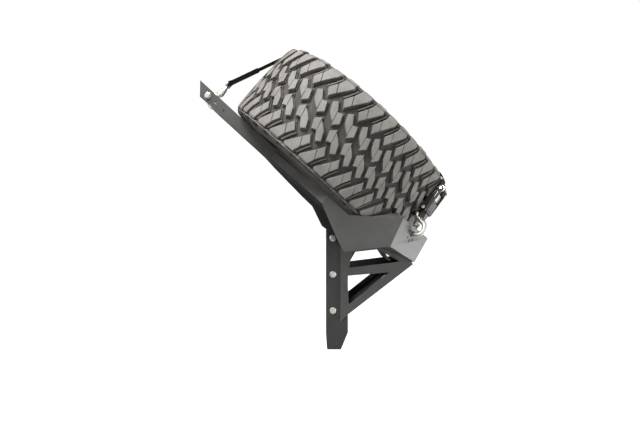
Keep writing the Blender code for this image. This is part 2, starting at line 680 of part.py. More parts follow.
def build_centre_plate():
    """The plate over the wheel's middle that joins the three legs, a slot for each."""
    angles = (LEG_ANGLE, -LEG_ANGLE, math.pi)
    matrix = frame(WHEEL_CENTRE + OUT * PLATE_LEVEL, DOWN, ACROSS)
    reach, half = SLOT_BAR + 0.004, 0.031
    outline = []
    for angle in sorted(angles, key=lambda a: a % (2 * math.pi)):
        along, across = Vector((math.cos(angle), math.sin(angle))), Vector((-math.sin(angle), math.cos(angle)))
        outline += [tuple(along * (reach - 0.006) - across * half), tuple(along * reach - across * (half - 0.006)),
                    tuple(along * reach + across * (half - 0.006)), tuple(along * (reach - 0.006) + across * half)]
    loops = [outline]
    for angle in angles:
        along, across = Vector((math.cos(angle), math.sin(angle))), Vector((-math.sin(angle), math.cos(angle)))
        inner, outer = SLOT_BAR - 0.0115, SLOT_BAR - 0.004
        loops.append([tuple(along * r + across * w) for r, w in (
            (inner, -0.0262), (outer, -0.0262), (outer, 0.0262), (inner, 0.0262))])
    flat("centre_plate", loops, 0.005, matrix, "zinc")


def build_straps():
    """The three webbing legs, the short link below the ratchet, and the top leg's sleeve."""
    shoulder = over_shoulder()
    plate_loop = ((SLOT_BAR, PLATE_LEVEL), LOOP_PLATE)
    start = [(SLOT_BAR + LOOP_PLATE + 0.001, PLATE_LEVEL)]

    eye = in_leg(top_hook_frame() @ Vector((TOP_HOOK_EYE, 0, 0)), math.pi)
    top = start + shoulder
    webbing("strap_top", top + [toward(eye, top[-1], LOOP_BAR + 0.001)],
            [plate_loop, (eye, LOOP_BAR)], math.pi)
    build_sleeve(eye, top[-1])

    lift = 0.0005 + WEB_THICK / 2
    tread = TYRE_RADIUS + lift
    under_roll = RATCHET_SPOOL[0] - ROLL_RADIUS - GAP - WEB_THICK / 2
    left = start + shoulder + [(max(tread, under_roll), RATCHET_SPOOL[1] + 0.012),
                               (under_roll, RATCHET_SPOOL[1])]
    webbing("strap_left", left, [plate_loop], -LEG_ANGLE)

    eye = in_leg(lower_hook_frame(1) @ Vector((HOOK_EYE, 0, 0)), LEG_ANGLE)
    right = start + shoulder + [(tread, 0.100), (tread, 0.060)]
    webbing("strap_right", right + [toward(eye, right[-1], LOOP_BAR + 0.001)],
            [plate_loop, (eye, LOOP_BAR)], LEG_ANGLE)

    ends = [eye, RATCHET_BOLT]
    webbing("strap_link", [toward(ends[0], ends[1], LOOP_BAR + 0.001), toward(ends[1], ends[0], LOOP_BAR + 0.001)],
            [(ends[0], LOOP_BAR), (ends[1], LOOP_BAR)], -LEG_ANGLE, 0.040)


def build_sleeve(low, high):
    """The guard sleeve round the top leg's straight run."""
    low, high = Vector(low), Vector(high)
    along = (high - low).normalized()
    matrix = leg_frame(math.pi) @ Matrix.Translation((*(low + along * 0.016), 0))
    turn = Matrix.Rotation(math.atan2(along.y, along.x), 4, "Z")
    length = 0.132
    body = block("strap_sleeve", (0, -0.0045, -0.0300), (length, 0.0045, 0.0300), matrix @ turn, "webbing")
    bore = block("sleeve_bore", (-0.01, -0.0022, -0.0262), (length + 0.01, 0.0022, 0.0262), matrix @ turn, None)
    combine(body, [bore], "DIFFERENCE", "webbing")


# Ratchet, in a frame with X along the leg towards the shoulder, Y out from the tread and its spool at 0
def ratchet_frame():
    place = leg_frame(-LEG_ANGLE) @ Vector((*RATCHET_SPOOL, 0))
    radial = DOWN * math.cos(-LEG_ANGLE) + ACROSS * math.sin(-LEG_ANGLE)
    return frame(place, OUT, radial)


def offset(matrix, depth):
    return matrix @ Matrix.Translation((0, 0, depth))


def build_ratchet_body(matrix):
    """The frame: two side plates and the floor between them, with slots for the holding pawl."""
    bolt_x, bolt_y = RATCHET_BOLT[1] - RATCHET_SPOOL[1], RATCHET_BOLT[0] - RATCHET_SPOOL[0]
    foot = -0.0186
    outline = (arc((0, 0), 0.0120, -60, 180, 10) + [(-0.0125, -0.0030), (-0.084, -0.0030)]
               + arc((bolt_x, bolt_y), 0.0085, 60, 200, 6) + [(bolt_x - 0.004, foot), (-0.004, foot)])
    slot = [(-0.0440, -0.0112), (-0.0140, -0.0112), (-0.0140, -0.0078), (-0.0440, -0.0078)]
    sides = []
    for label, side in SIDES:
        plate = offset(matrix, side * (FRAME_SIDE - FRAME_PLATE / 2))
        sides.append(flat("ratchet_side_" + label, [outline, slot, circle(0, 0, AXLE_RADIUS + GAP, 20),
                                                    circle(bolt_x, bolt_y, 0.0044 + GAP, 12)],
                          FRAME_PLATE, plate, None))
    base = block("ratchet_frame", (-0.080, foot, -FRAME_SIDE + 0.001), (-0.022, foot + 0.0022, FRAME_SIDE - 0.001),
                 matrix, "dark_steel")
    combine(base, sides, "UNION", "dark_steel")
    shaft = cylinder("ratchet_end_bolt", 0.0044, -0.0250, 0.0250,
                     matrix @ Matrix.Translation((bolt_x, bolt_y, 0)), "zinc", 16)
    heads = [cylinder(f"end_bolt_head_{i}", 0.0072, low, high,
                      matrix @ Matrix.Translation((bolt_x, bolt_y, 0)), None, 16)
             for i, (low, high) in enumerate(((-0.0265, -FRAME_SIDE - GAP), (FRAME_SIDE + GAP, 0.0265)))]
    combine(shaft, heads, "UNION", "zinc")


def gear_outline(teeth=13):
    """Saw teeth, steep on the side that the pawls hold."""
    found = []
    for i in range(teeth):
        for share, radius in ((0.0, GEAR_TIP), (0.08, GEAR_ROOT), (0.55, (GEAR_TIP + GEAR_ROOT) / 2)):
            angle = 2 * math.pi * (i + share) / teeth
            found.append((radius * math.cos(angle), radius * math.sin(angle)))
    return found


def build_spool(matrix):
    """The slotted axle with its two ratchet wheels, and the webbing wound on it."""
    axle = cylinder("ratchet_spool", AXLE_RADIUS, -0.0335, 0.0335, matrix, "zinc", 20)
    gears = [flat("gear_" + label, [gear_outline()], GEAR_OUT - GEAR_IN,
                  offset(matrix, side * (GEAR_IN + GEAR_OUT) / 2), None) for label, side in SIDES]
    combine(axle, gears, "UNION", "zinc")
    roll = cylinder("webbing_roll", ROLL_RADIUS, -0.0203, 0.0203, matrix, "webbing", 24)
    bore = cylinder("roll_bore", AXLE_RADIUS + GAP, -0.03, 0.03, matrix, None, 20)
    combine(roll, [bore], "DIFFERENCE", "webbing")


def handle_frame(matrix):
    """The closed handle's frame: X from the spool along the handle, back over the frame."""
    return matrix @ Matrix.Rotation(math.pi - HANDLE_RISE, 4, "Z") @ Matrix.Rotation(math.pi, 4, "X")


def build_handle(matrix):
    """The handle: two arms, the bridge between them and the grip, with slots for the driving pawl."""
    arm = arc((0, 0), 0.0120, 90, 270, 10) + [(0.030, -0.0075), (0.106, -0.0060), (0.113, 0.0), (0.106, 0.0075),
                                             (0.030, 0.0100)]
    slot = [(0.0185, -0.0022), (0.0460, -0.0022), (0.0460, 0.0014), (0.0185, 0.0014)]
    pieces = []
    for label, side in SIDES:
        plate = offset(matrix, side * (HANDLE_SIDE - HANDLE_PLATE / 2))
        pieces.append(flat("handle_arm_" + label, [arm, slot, circle(0, 0, AXLE_RADIUS + GAP, 20)],
                           HANDLE_PLATE, plate, None))
    half = HANDLE_SIDE - HANDLE_PLATE / 2
    bridge = block("ratchet_handle", (0.056, 0.0050, -half), (0.100, 0.0072, half), matrix, "dark_steel")
    grip = cylinder("handle_grip", 0.0068, -half, half, matrix @ Matrix.Translation((0.105, 0.0006, 0)), None, 16)
    combine(bridge, pieces + [grip], "UNION", "dark_steel")


def build_pawls(matrix):
    """The holding pawl in the frame and the driving pawl in the handle, both riding on the tooth tips."""
    reach = GEAR_TIP + 0.0005
    level = -0.0095
    start = -math.sqrt(reach * reach - 0.0085 ** 2)
    body = [(start, -GEAR_OUT), (start, GEAR_OUT), (-0.0380, GEAR_OUT), (-0.0380, -GEAR_OUT)]
    flat("holding_pawl", [body], 0.0024, matrix @ Matrix.Translation((0, level, 0))
         @ Matrix.Rotation(math.pi / 2, 4, "X"), "zinc")
    handle = handle_frame(matrix)
    start = math.sqrt(reach * reach - 0.0020 ** 2) + 0.0022
    wide, narrow = HANDLE_SIDE + 0.0030, 0.0180
    body = [(start, -wide), (start, wide), (0.0390, wide), (0.0390, narrow), (0.0500, narrow),
            (0.0500, -narrow), (0.0390, -narrow), (0.0390, -wide)]
    flat("driving_pawl", [body], 0.0024, handle @ Matrix.Translation((0, -0.0004, 0))
         @ Matrix.Rotation(math.pi / 2, 4, "X"), "zinc")


def build_ratchet():
    matrix = ratchet_frame()
    build_ratchet_body(matrix)
    build_spool(matrix)
    build_handle(handle_frame(matrix))
    build_pawls(matrix)


build_rails()
build_spine_sides()
build_keel_sides()
build_keel_belly()
build_keel_brace()
build_spine_plates()
build_wings()
build_rear_wall()
build_floors()
build_tread_rest()
build_bracket()
build_side_bolts()
build_crossbar()
build_tyre()
build_wheel()
build_hooks()
build_centre_plate()
build_straps()
build_ratchet()

for part in parts.objects:
    smooth(part)
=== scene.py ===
import json
import math

import bmesh
import bpy
import numpy as np
from mathutils import Matrix, Vector, noise


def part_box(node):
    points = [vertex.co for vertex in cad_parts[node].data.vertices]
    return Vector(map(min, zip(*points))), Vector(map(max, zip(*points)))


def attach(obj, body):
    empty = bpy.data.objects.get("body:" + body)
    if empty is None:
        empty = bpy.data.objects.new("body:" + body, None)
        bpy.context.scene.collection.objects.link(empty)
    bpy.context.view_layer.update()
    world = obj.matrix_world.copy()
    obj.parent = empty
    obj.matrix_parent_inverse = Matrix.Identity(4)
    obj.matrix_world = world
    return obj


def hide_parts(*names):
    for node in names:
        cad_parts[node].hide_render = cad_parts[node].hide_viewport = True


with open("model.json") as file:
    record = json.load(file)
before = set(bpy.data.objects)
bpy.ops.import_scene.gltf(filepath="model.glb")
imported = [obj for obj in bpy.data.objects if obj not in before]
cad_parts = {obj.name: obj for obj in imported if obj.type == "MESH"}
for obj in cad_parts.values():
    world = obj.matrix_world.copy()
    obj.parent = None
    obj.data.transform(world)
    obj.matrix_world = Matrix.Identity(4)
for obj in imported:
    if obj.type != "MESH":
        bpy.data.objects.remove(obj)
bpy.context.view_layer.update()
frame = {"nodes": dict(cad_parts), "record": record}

NODES = frame["nodes"]
BODY_OF = {node: body for body, nodes in frame["record"]["behaviour"]["bodies"].items() for node in nodes}
SLOT_OF = {row["node"]: row["material_slot"] for row in frame["record"]["subparts"]}

# Driving dimensions, as the CAD has them
LEAN = math.radians(42.5)
TYRE_LOW, TYRE_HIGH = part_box("tyre")
WHEEL_CENTRE = (TYRE_LOW + TYRE_HIGH) / 2
TYRE_RADIUS = (TYRE_HIGH.x - TYRE_LOW.x) / 2
TYRE_HALF_WIDTH = 0.187
TREAD_HALF_WIDTH = 0.170
BEAD_RADIUS = 0.216
LEG_ANGLE = math.radians(34.3)
WEB_WIDTH, WEB_THICK = 0.046, 0.0025
HOOK_BAR, HOOK_BOWL, HOOK_EYE, EYE_BAR = 0.0065, 0.027, 0.056, 0.0045
TOP_HOOK_EYE = 0.102
SLOT_BAR, LOOP_PLATE, LOOP_BAR = 0.056, 0.0060, 0.0054
PLATE_LEVEL = TYRE_HALF_WIDTH + 0.008
RATCHET_BOLT = (0.4975, 0.0330)
RATCHET_SPOOL = (0.5020, 0.1330)
ROLL_RADIUS = 0.0150

ACROSS = Vector((1.0, 0.0, 0.0))
DOWN = Vector((0.0, -math.cos(LEAN), -math.sin(LEAN)))
OUT = Vector((0.0, -math.sin(LEAN), math.cos(LEAN)))


def frame_of(origin, x_axis, y_axis):
    """A matrix whose local axes are x_axis, y_axis and their cross product."""
    x_axis, y_axis = Vector(x_axis).normalized(), Vector(y_axis).normalized()
    rotation = Matrix((x_axis, y_axis, x_axis.cross(y_axis))).transposed().to_4x4()
    return Matrix.Translation(origin) @ rotation


WHEEL = frame_of(WHEEL_CENTRE, -ACROSS, DOWN)      # local Z is OUT; angles run from -X towards down the slope


# Node helpers for the materials
class Nodes:
    """A node tree under construction."""

    def __init__(self, owner):
        owner.use_nodes = True
        self.tree = owner.node_tree

    def add(self, kind, inputs=None, **settings):
        node = self.tree.nodes.new("ShaderNode" + kind)
        for name, value in settings.items():
            setattr(node, name, value)
        for socket, value in (inputs or {}).items():
            self.feed(node.inputs[socket], value)
        return node

    def feed(self, socket, value):
        if isinstance(value, bpy.types.NodeSocket):
            self.tree.links.new(value, socket)
        else:
            socket.default_value = value


class Shader(Nodes):
    """A Principled material under construction, with short calls for its texture nodes."""

    def __init__(self, name, **sockets):
        self.material = bpy.data.materials.new(name)
        super().__init__(self.material)
        self.shader = self.tree.nodes["Principled BSDF"]
        for socket, value in sockets.items():
            self.shader.inputs[socket.replace("_", " ")].default_value = value

    def coords(self, scale=(1, 1, 1), source="Object"):
        """Object coordinates, which are the row's own metres, or the piece's UV coordinates."""
        start = self.add("TexCoord").outputs[source]
        return self.add("Mapping", {"Vector": start, "Scale": scale}).outputs["Vector"]

    def noise(self, scale, detail=3.0, roughness=0.5, vector=None):
        vector = vector or self.coords()
        return self.add("TexNoise", {"Vector": vector, "Scale": scale, "Detail": detail,
                                     "Roughness": roughness}).outputs["Fac"]

    def spots(self, scale, vector=None, feature="F1"):
        vector = vector or self.coords()
        return self.add("TexVoronoi", {"Vector": vector, "Scale": scale}, feature=feature).outputs["Distance"]

    def remap(self, value, low, high, to_low=0.0, to_high=1.0):
        return self.add("MapRange", {"Value": value, "From Min": low, "From Max": high, "To Min": to_low,
                                     "To Max": to_high}).outputs["Result"]

    def maths(self, operation, a, b=0.0):
        node = self.add("Math", operation=operation)
        self.feed(node.inputs[0], a)
        self.feed(node.inputs[1], b)
        return node.outputs[0]

    def ramp(self, value, stops):
        node = self.add("ValToRGB", {"Fac": value})
        elements = node.color_ramp.elements
        while len(elements) < len(stops):
            elements.new(0.5)
        for element, (place, colour) in zip(elements, stops):
            element.position = place
            element.color = (*colour, 1)
        return node.outputs["Color"]

    def mix(self, factor, a, b):
        node = self.add("Mix", data_type="RGBA")
        self.feed(node.inputs["Factor"], factor)
        for socket, value in ((node.inputs[6], a), (node.inputs[7], b)):
            self.feed(socket, value if isinstance(value, bpy.types.NodeSocket) else (*value, 1))
        return node.outputs[2]

    def facing_up(self, low=0.2, high=0.95):
        """How far the surface faces the sky."""
        normal = self.add("NewGeometry").outputs["Normal"]
        height = self.add("SeparateXYZ", {"Vector": normal}).outputs["Z"]
        return self.remap(height, low, high)

    def bump(self, *layers):
        """Bump from (height, strength, distance) layers, each on the one before."""
        before = None
        for height, strength, distance in layers:
            node = self.add("Bump", {"Height": height, "Strength": strength, "Distance": distance})
            if before:
                self.tree.links.new(before, node.inputs["Normal"])
            before = node.outputs["Normal"]
        self.tree.links.new(before, self.shader.inputs["Normal"])

    def colour(self, value):
        self.tree.links.new(value, self.shader.inputs["Base Color"])

    def roughness(self, value):
        self.tree.links.new(value, self.shader.inputs["Roughness"])


def powder_coat(name, dark, light, roughness=0.46):
    """Textured powder coat: a fine orange peel, faint cloudiness and a little dust on what faces up."""
    s = Shader(name, Specular_IOR_Level=0.5)
    cloud = s.noise(9.0, 4.0, 0.6)
    grain = s.noise(900.0, 2.0, 0.5)
    base = s.mix(s.remap(cloud, 0.35, 0.68), dark, light)
    dust = s.maths("MULTIPLY", s.facing_up(), s.remap(s.noise(26.0, 5.0, 0.65), 0.35, 0.7, 0.0, 0.22))
    s.colour(s.mix(dust, base, (0.26, 0.25, 0.235)))
    s.roughness(s.remap(grain, 0.3, 0.7, roughness - 0.06, roughness + 0.08))
    s.bump((s.noise(1400.0, 2.0, 0.5), 0.35, 0.0004), (s.noise(300.0, 2.0, 0.5), 0.18, 0.0006))
    return s.material


def bright_zinc(name, tint, roughness=0.27):
    """Zinc plate: patchy spangle, fine scratches and a dull bloom in random patches."""
    s = Shader(name, Metallic=1.0)
    patches = s.noise(70.0, 4.0, 0.6)
    scratches = s.noise(60.0, 4.0, 0.7, s.coords((1, 14, 1)))
    dull = tuple(c * 0.72 for c in tint)
    s.colour(s.mix(s.remap(patches, 0.35, 0.7), tint, dull))
    s.roughness(s.maths("ADD", s.remap(patches, 0.3, 0.7, roughness, roughness + 0.16),
                        s.remap(scratches, 0.5, 0.8, 0.0, 0.10)))
    s.bump((scratches, 0.12, 0.0003), (s.noise(500.0, 2.0), 0.10, 0.0003))
    return s.material


def tyre_rubber():
    """Rubber with grey road dust on the blocks and near-black grooves, by the mesh's own lift value, which on
    the tread also carries painted shade on the inner lug ends.
    """
    s = Shader("tyre_rubber", Specular_IOR_Level=0.35)
    lift = s.add("Attribute", attribute_name="lift").outputs["Fac"]
    cloud = s.noise(16.0, 5.0, 0.6)
    fine = s.noise(420.0, 3.0, 0.6)
    top = s.mix(s.remap(cloud, 0.3, 0.7), (0.150, 0.140, 0.129), (0.225, 0.212, 0.197))
    top = s.mix(s.remap(fine, 0.45, 0.75, 0.0, 0.45), top, (0.105, 0.097, 0.089))
    low = s.mix(s.remap(cloud, 0.35, 0.7), (0.030, 0.0275, 0.025), (0.062, 0.057, 0.052))
    s.colour(s.mix(s.remap(lift, 0.12, 0.96), low, top))
    s.roughness(s.remap(fine, 0.3, 0.7, 0.62, 0.82))
    s.bump((fine, 0.25, 0.0006), (s.noise(60.0, 3.0), 0.12, 0.0015))
    return s.material


def plain_rubber():
    s = Shader("plain_rubber", Specular_IOR_Level=0.4)
    cloud = s.noise(40.0, 4.0, 0.6)
    s.colour(s.mix(s.remap(cloud, 0.35, 0.7), (0.016, 0.016, 0.016), (0.040, 0.038, 0.036)))
    s.roughness(s.remap(cloud, 0.3, 0.7, 0.55, 0.75))
    s.bump((s.noise(600.0, 2.0), 0.2, 0.0004))
    return s.material


def woven(name, dark, light):
    """Webbing: a fine herringbone of warp and weft from the strap's own UV, in metres."""
    s = Shader(name, Specular_IOR_Level=0.3, Sheen_Weight=0.06, Sheen_Roughness=0.5)
    uv = s.coords(source="UV")
    warp = s.add("TexWave", {"Vector": uv, "Scale": 130.0, "Distortion": 0.6, "Detail": 1.0},
                 wave_type="BANDS", bands_direction="Y").outputs["Fac"]
    weft = s.add("TexWave", {"Vector": uv, "Scale": 190.0, "Distortion": 0.4, "Detail": 1.0},
                 wave_type="BANDS", bands_direction="DIAGONAL").outputs["Fac"]
    weave = s.maths("MULTIPLY", warp, weft)
    fuzz = s.noise(35.0, 4.0, 0.6)
    cloth = s.mix(s.remap(weave, 0.1, 0.8), dark, light)
    s.colour(s.mix(s.remap(fuzz, 0.5, 0.8, 0.0, 0.35), cloth, tuple(c * 2.2 for c in light)))
    s.roughness(s.remap(fuzz, 0.3, 0.7, 0.8, 0.95))
    s.bump((weave, 0.6, 0.0006), (s.noise(900.0, 2.0), 0.25, 0.0003))
    return s.material


def thread(name, tint):
    s = Shader(name, Specular_IOR_Level=0.35)
    strands = s.noise(1500.0, 2.0)
    s.colour(s.mix(strands, tint, tuple(c * 0.45 for c in tint)))
    s.roughness(s.remap(strands, 0.3, 0.7, 0.6, 0.8))
    s.bump((strands, 0.4, 0.0003))
    return s.material


COAT = powder_coat("powder_coat", (0.042, 0.0415, 0.0395), (0.058, 0.057, 0.054))
# Each edge finish is lighter and shinier than its face finish and goes only on the rounded edges: a painted
# highlight along them.
COAT_EDGE_HIGHLIGHT = powder_coat("powder_coat_edge_highlight", (0.078, 0.077, 0.074), (0.12, 0.118, 0.114), 0.36)
DARK = powder_coat("dark_steel", (0.016, 0.016, 0.016), (0.026, 0.026, 0.025), 0.5)
DARK_EDGE_HIGHLIGHT = powder_coat("dark_steel_edge_highlight", (0.04, 0.04, 0.039), (0.07, 0.069, 0.067), 0.4)
ZINC = bright_zinc("zinc", (0.64, 0.62, 0.575), 0.36)
ZINC_EDGE_HIGHLIGHT = bright_zinc("zinc_edge_highlight", (0.74, 0.72, 0.68), 0.28)
TYRE = tyre_rubber()
RUBBER = plain_rubber()
WHEEL_PAINT = powder_coat("wheel_paint", (0.034, 0.034, 0.036), (0.055, 0.055, 0.057), 0.36)
WHEEL_EDGE_HIGHLIGHT = powder_coat("wheel_paint_edge_highlight", (0.08, 0.08, 0.082), (0.12, 0.12, 0.122), 0.3)
WEBBING = woven("webbing", (0.003, 0.003, 0.003), (0.011, 0.011, 0.0105))
SLEEVE = woven("sleeve", (0.005, 0.005, 0.005), (0.016, 0.016, 0.0155))
THREAD = thread("thread", (0.10, 0.10, 0.095))
FINISH = {"powder_coat": (COAT, COAT_EDGE_HIGHLIGHT), "dark_steel": (DARK, DARK_EDGE_HIGHLIGHT), "zinc": (ZINC, ZINC_EDGE_HIGHLIGHT),
          "rubber": (RUBBER, RUBBER), "wheel_paint": (WHEEL_PAINT, WHEEL_EDGE_HIGHLIGHT)}
# painted shade: the tailgate bracket takes the darker coat, for the shade it lies in between the tailgate and
# the carrier; the ratchet's dark coat is its own colour
OWN_FINISH_AND_SHADE = {"ratchet_frame": (DARK, ZINC_EDGE_HIGHLIGHT), "ratchet_handle": (DARK, ZINC_EDGE_HIGHLIGHT),
              "tailgate_bracket": (DARK, DARK_EDGE_HIGHLIGHT)}


# Mesh helpers
def turn_steps(count):
    """The angles of count equal steps round a full turn."""
    return [2 * math.pi * i / count for i in range(count)]


def dense(line, pitch=0.004):
    """The same line with points at most a pitch apart."""
    line = [Vector(p) for p in line]
    found = [line[0]]
    for start, end in zip(line, line[1:]):
        steps = max(int((end - start).length / pitch), 1)
        found += [start.lerp(end, i / steps) for i in range(1, steps + 1)]
    return found


def tube_faces(turns, count, cyclic=False, around=True):
    """Faces between turns rings of count points each, with both ends closed unless the tube meets itself."""
    faces = []
    for i in range(turns if cyclic else turns - 1):
        n = (i + 1) % turns
        for j in range(count if around else count - 1):
            k = (j + 1) % count
            faces.append((i * count + j, n * count + j, n * count + k, i * count + k))
    if not cyclic:
        faces.append(tuple(range(count)))
        faces.append(tuple(range((turns - 1) * count, turns * count))[::-1])
    return faces


def in_scene(name, data, materials=()):
    thing = bpy.data.objects.new(name, data)
    bpy.context.scene.collection.objects.link(thing)
    for material in materials:
        data.materials.append(material)
    return thing


def piece(name, points, faces, materials, matrix=None, angle=35.0, outward=False):
    """A mesh object from points and faces, smooth where its faces meet at under angle degrees."""
    data = bpy.data.meshes.new(name)
    data.from_pydata([tuple(p) for p in points], [], [tuple(f) for f in faces])
    if matrix is not None:
        data.transform(matrix)
    if outward:
        mesh = bmesh.new()
        mesh.from_mesh(data)
        bmesh.ops.recalc_face_normals(mesh, faces=mesh.faces)
        mesh.to_mesh(data)
        mesh.free()
    shade(data, angle)
    return in_scene(name, data, materials)


def shade(data, angle):
    data.shade_smooth()
    data.set_sharp_from_angle(angle=math.radians(angle))


def settle(thing, body, slot, *nodes):
    """Puts a finished piece on its body and hides the CAD nodes it stands for."""
    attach(thing, body)
    if nodes:
        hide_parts(*nodes)
    return thing


def bevelled(mesh, width, corner):
    """Rounds over the edges of a bmesh that turn by more than corner degrees, in its second material."""
    edges = [e for e in mesh.edges if e.is_manifold and e.calc_face_angle(0) > math.radians(corner)]
    bmesh.ops.bevel(mesh, geom=edges, offset=width, segments=2, profile=0.5, affect="EDGES",
                    clamp_overlap=True, material=1)


def balance_normals(thing):
    shade(thing.data, 40.0)
    modifier = thing.modifiers.new("balance", "WEIGHTED_NORMAL")
    modifier.keep_sharp = True
    modifier.weight = 80


def softened(node, width, corner=30.0):
    """A copy of a CAD node with its edges rounded over, the rounding in the lighter edge finish, a painted
    highlight.
    """
    mesh = bmesh.new()
    mesh.from_mesh(NODES[node].data)
    bmesh.ops.remove_doubles(mesh, verts=mesh.verts, dist=1e-5)
    bmesh.ops.dissolve_limit(mesh, angle_limit=math.radians(0.6), verts=mesh.verts, edges=mesh.edges)
    for face in mesh.faces:
        face.material_index = 0
    bevelled(mesh, width, corner)
    data = bpy.data.meshes.new(node + "_skin")
    mesh.to_mesh(data)
    mesh.free()
    thing = in_scene(node + "_skin", data, OWN_FINISH_AND_SHADE.get(node, FINISH[SLOT_OF[node]]))
    balance_normals(thing)
    return settle(thing, BODY_OF[node], SLOT_OF[node], node)


def swept(name, places, section, materials, cyclic=False, uv=True, angle=50.0):
    """A closed section of (a, b) points carried along places, a list of (origin, a axis, b axis)."""
    points = [o + a * x + b * y for o, a, b in places for x, y in section]
    thing = piece(name, points, tube_faces(len(places), len(section), cyclic), materials, None, angle, True)
    if uv:
        lay_uv(thing, places, section)
    return thing


def lay_uv(thing, places, section):
    """UV in metres: length along the sweep and the section's first coordinate across it."""
    length = [0.0]
    for (start, _, _), (end, _, _) in zip(places, places[1:]):
        length.append(length[-1] + (end - start).length)
    layer = thing.data.uv_layers.new(name="UVMap")
    count = len(section)
    for loop in thing.data.loops:
        turn, corner = divmod(loop.vertex_index, count)
        layer.data[loop.index].uv = (length[min(turn, len(length) - 1)], section[corner][0])


def ring_section(radius, points=12):
    return [(radius * math.cos(a), radius * math.sin(a)) for a in turn_steps(points)]


def tube_places(line, cyclic=False):
    """Origins and cross axes along a line, turned as little as they can be from point to point."""
    line = [Vector(p) for p in line]
    count = len(line)
    places, side = [], None
    for i, here in enumerate(line):
        before = line[(i - 1) % count] if cyclic or i else here
        after = line[(i + 1) % count] if cyclic or i < count - 1 else here
        along = (after - before).normalized()
        if side is None:
            side = along.orthogonal().normalized()
        side = (side - along * side.dot(along)).normalized()
        places.append((here, side, along.cross(side)))
    return places


def rounded_line(points, radius, steps=5, cyclic=False):
    """A line through points with its corners turned into arcs."""
    points = [Vector(p) for p in points]
    count = len(points)
    found = []
    for i, corner in enumerate(points):
        if not cyclic and i in (0, count - 1):
            found.append(corner)
            continue
        before, after = points[i - 1] - corner, points[(i + 1) % count] - corner
        reach = min(radius, before.length * 0.48, after.length * 0.48)
        start, end = corner + before.normalized() * reach, corner + after.normalized() * reach
        for step in range(steps + 1):
            t = step / steps
            found.append(start * (1 - t) ** 2 + corner * 2 * t * (1 - t) + end * t ** 2)
    return found


def turned(name, profile, steps, materials, matrix, closed=True):
    """A profile of (radius, height) pairs turned about the local Z axis."""
    points = [(r * math.cos(a), r * math.sin(a), h) for a in turn_steps(steps) for r, h in profile]
    return piece(name, points, tube_faces(steps, len(profile), True, closed), materials, matrix, outward=True)


# Tyre
PITCHES = 44
GROOVE = 0.0150
SIPE = 0.0007                                      # half of a sipe's width
FIRST_PITCH = -0.37375                             # where pitch 0 ends, round the tread from the left side
PITCH_RUN = (81.25, 83.75, 83.75, 75.0, 71.25, 63.25, 61.75, 58.75, 60.0, 67.0)
NOMINAL_PITCH = 68.9
TURNED_OVER = -12.0                                # the tread's halves map to each other about half of this


def chaikin(points, rounds):
    """Cuts the corners of an open line, its ends kept."""
    for _ in range(rounds):
        new = [points[0]]
        for (a, b), (c, d) in zip(points, points[1:]):
            new += [(a * 0.75 + c * 0.25, b * 0.75 + d * 0.25), (a * 0.25 + c * 0.75, b * 0.25 + d * 0.75)]
        points = new + [points[-1]]
    return points


def pitch_table():
    """Where each pitch starts round the tread. The pitches differ so that the tyre runs quietly."""
    rest = PITCHES - len(PITCH_RUN)
    wave = 1 + 0.13 * np.sin(2 * math.pi * 3.25 * np.arange(rest) / rest)
    lengths = np.array(PITCH_RUN) / 1000
    wave *= (2 * math.pi * TYRE_RADIUS - lengths.sum()) / wave.sum()
    lengths = np.concatenate([lengths, wave])
    ring = np.concatenate([[0.0], np.cumsum(lengths)]) + FIRST_PITCH
    return np.concatenate([[ring[0] - lengths[-1]], ring, [ring[-1] + lengths[0]]])


class TyreSkin:
    """The tyre's outer surface: round the tread, t along its section from the crown, h out of it."""

    def __init__(self):
        r, half, tread = TYRE_RADIUS, TYRE_HALF_WIDTH, TREAD_HALF_WIDTH
        line = chaikin([(r, 0.0), (r - 0.0008, 0.060), (r - 0.0030, 0.125), (r - 0.0078, tread - 0.002),
                        (r - 0.0185, tread + 0.0072), (r - 0.034, half - 0.0050), (r - 0.070, half - 0.0028),
                        (r - 0.110, half - 0.0005), (r - 0.145, half - 0.0045), (r - 0.180, half - 0.0090),
                        (r - 0.220, half - 0.0230), (BEAD_RADIUS + 0.016, 0.1540)], 3)
        line = np.array(line)
        steps = np.linalg.norm(np.diff(line, axis=0), axis=1)
        length = np.concatenate([[0.0], np.cumsum(steps)])
        self.end = length[-1]
        self.t = np.concatenate([-length[:0:-1], length])
        self.radius = np.concatenate([line[:0:-1, 0], line[:, 0]])
        self.height = np.concatenate([-line[:0:-1, 1], line[:, 1]])
        slope_r, slope_h = np.gradient(self.radius, self.t), np.gradient(self.height, self.t)
        size = np.hypot(slope_r, slope_h)
        self.normal_r, self.normal_h = slope_h / size, -slope_r / size

    def at(self, angle, t, h):
        """World places of points given by arrays of the angle, t and h."""
        radius = np.interp(t, self.t, self.radius) + np.interp(t, self.t, self.normal_r) * h
        height = np.interp(t, self.t, self.height) + np.interp(t, self.t, self.normal_h) * h
        return self.place(radius, height, angle)

    @staticmethod
    def place(radius, height, angle):
        local = np.stack([radius * np.cos(angle), radius * np.sin(angle), height], axis=1)
        matrix = np.array(WHEEL)
        return local @ matrix[:3, :3].T + matrix[:3, 3]


SKIN = TyreSkin()


def groove_depth(t):
    """Depth of the grooves under the blocks' tops, fading out down the sidewalls."""
    return np.interp(np.abs(t), [0.0, 0.165, 0.195, 0.235, 0.275], [GROOVE, GROOVE, 0.0110, 0.0060, 0.0016])


def grown(outline, distance):
    """An outline of (s, t) pairs moved outwards by a distance, with mitred corners."""
    points = [Vector(p) for p in outline]
    area = sum(a.x * b.y - b.x * a.y for a, b in zip(points, points[1:] + points[:1]))
    sign = 1 if area > 0 else -1
    found = []
    for i, here in enumerate(points):
        first = (here - points[i - 1]).normalized()
        second = (points[(i + 1) % len(points)] - here).normalized()
        out = Vector((first.y + second.y, -first.x - second.x)) * sign
        out = out.normalized() / max(math.sqrt((1 + first.dot(second)) / 2), 0.45)
        found.append(here + out * distance)
    return found


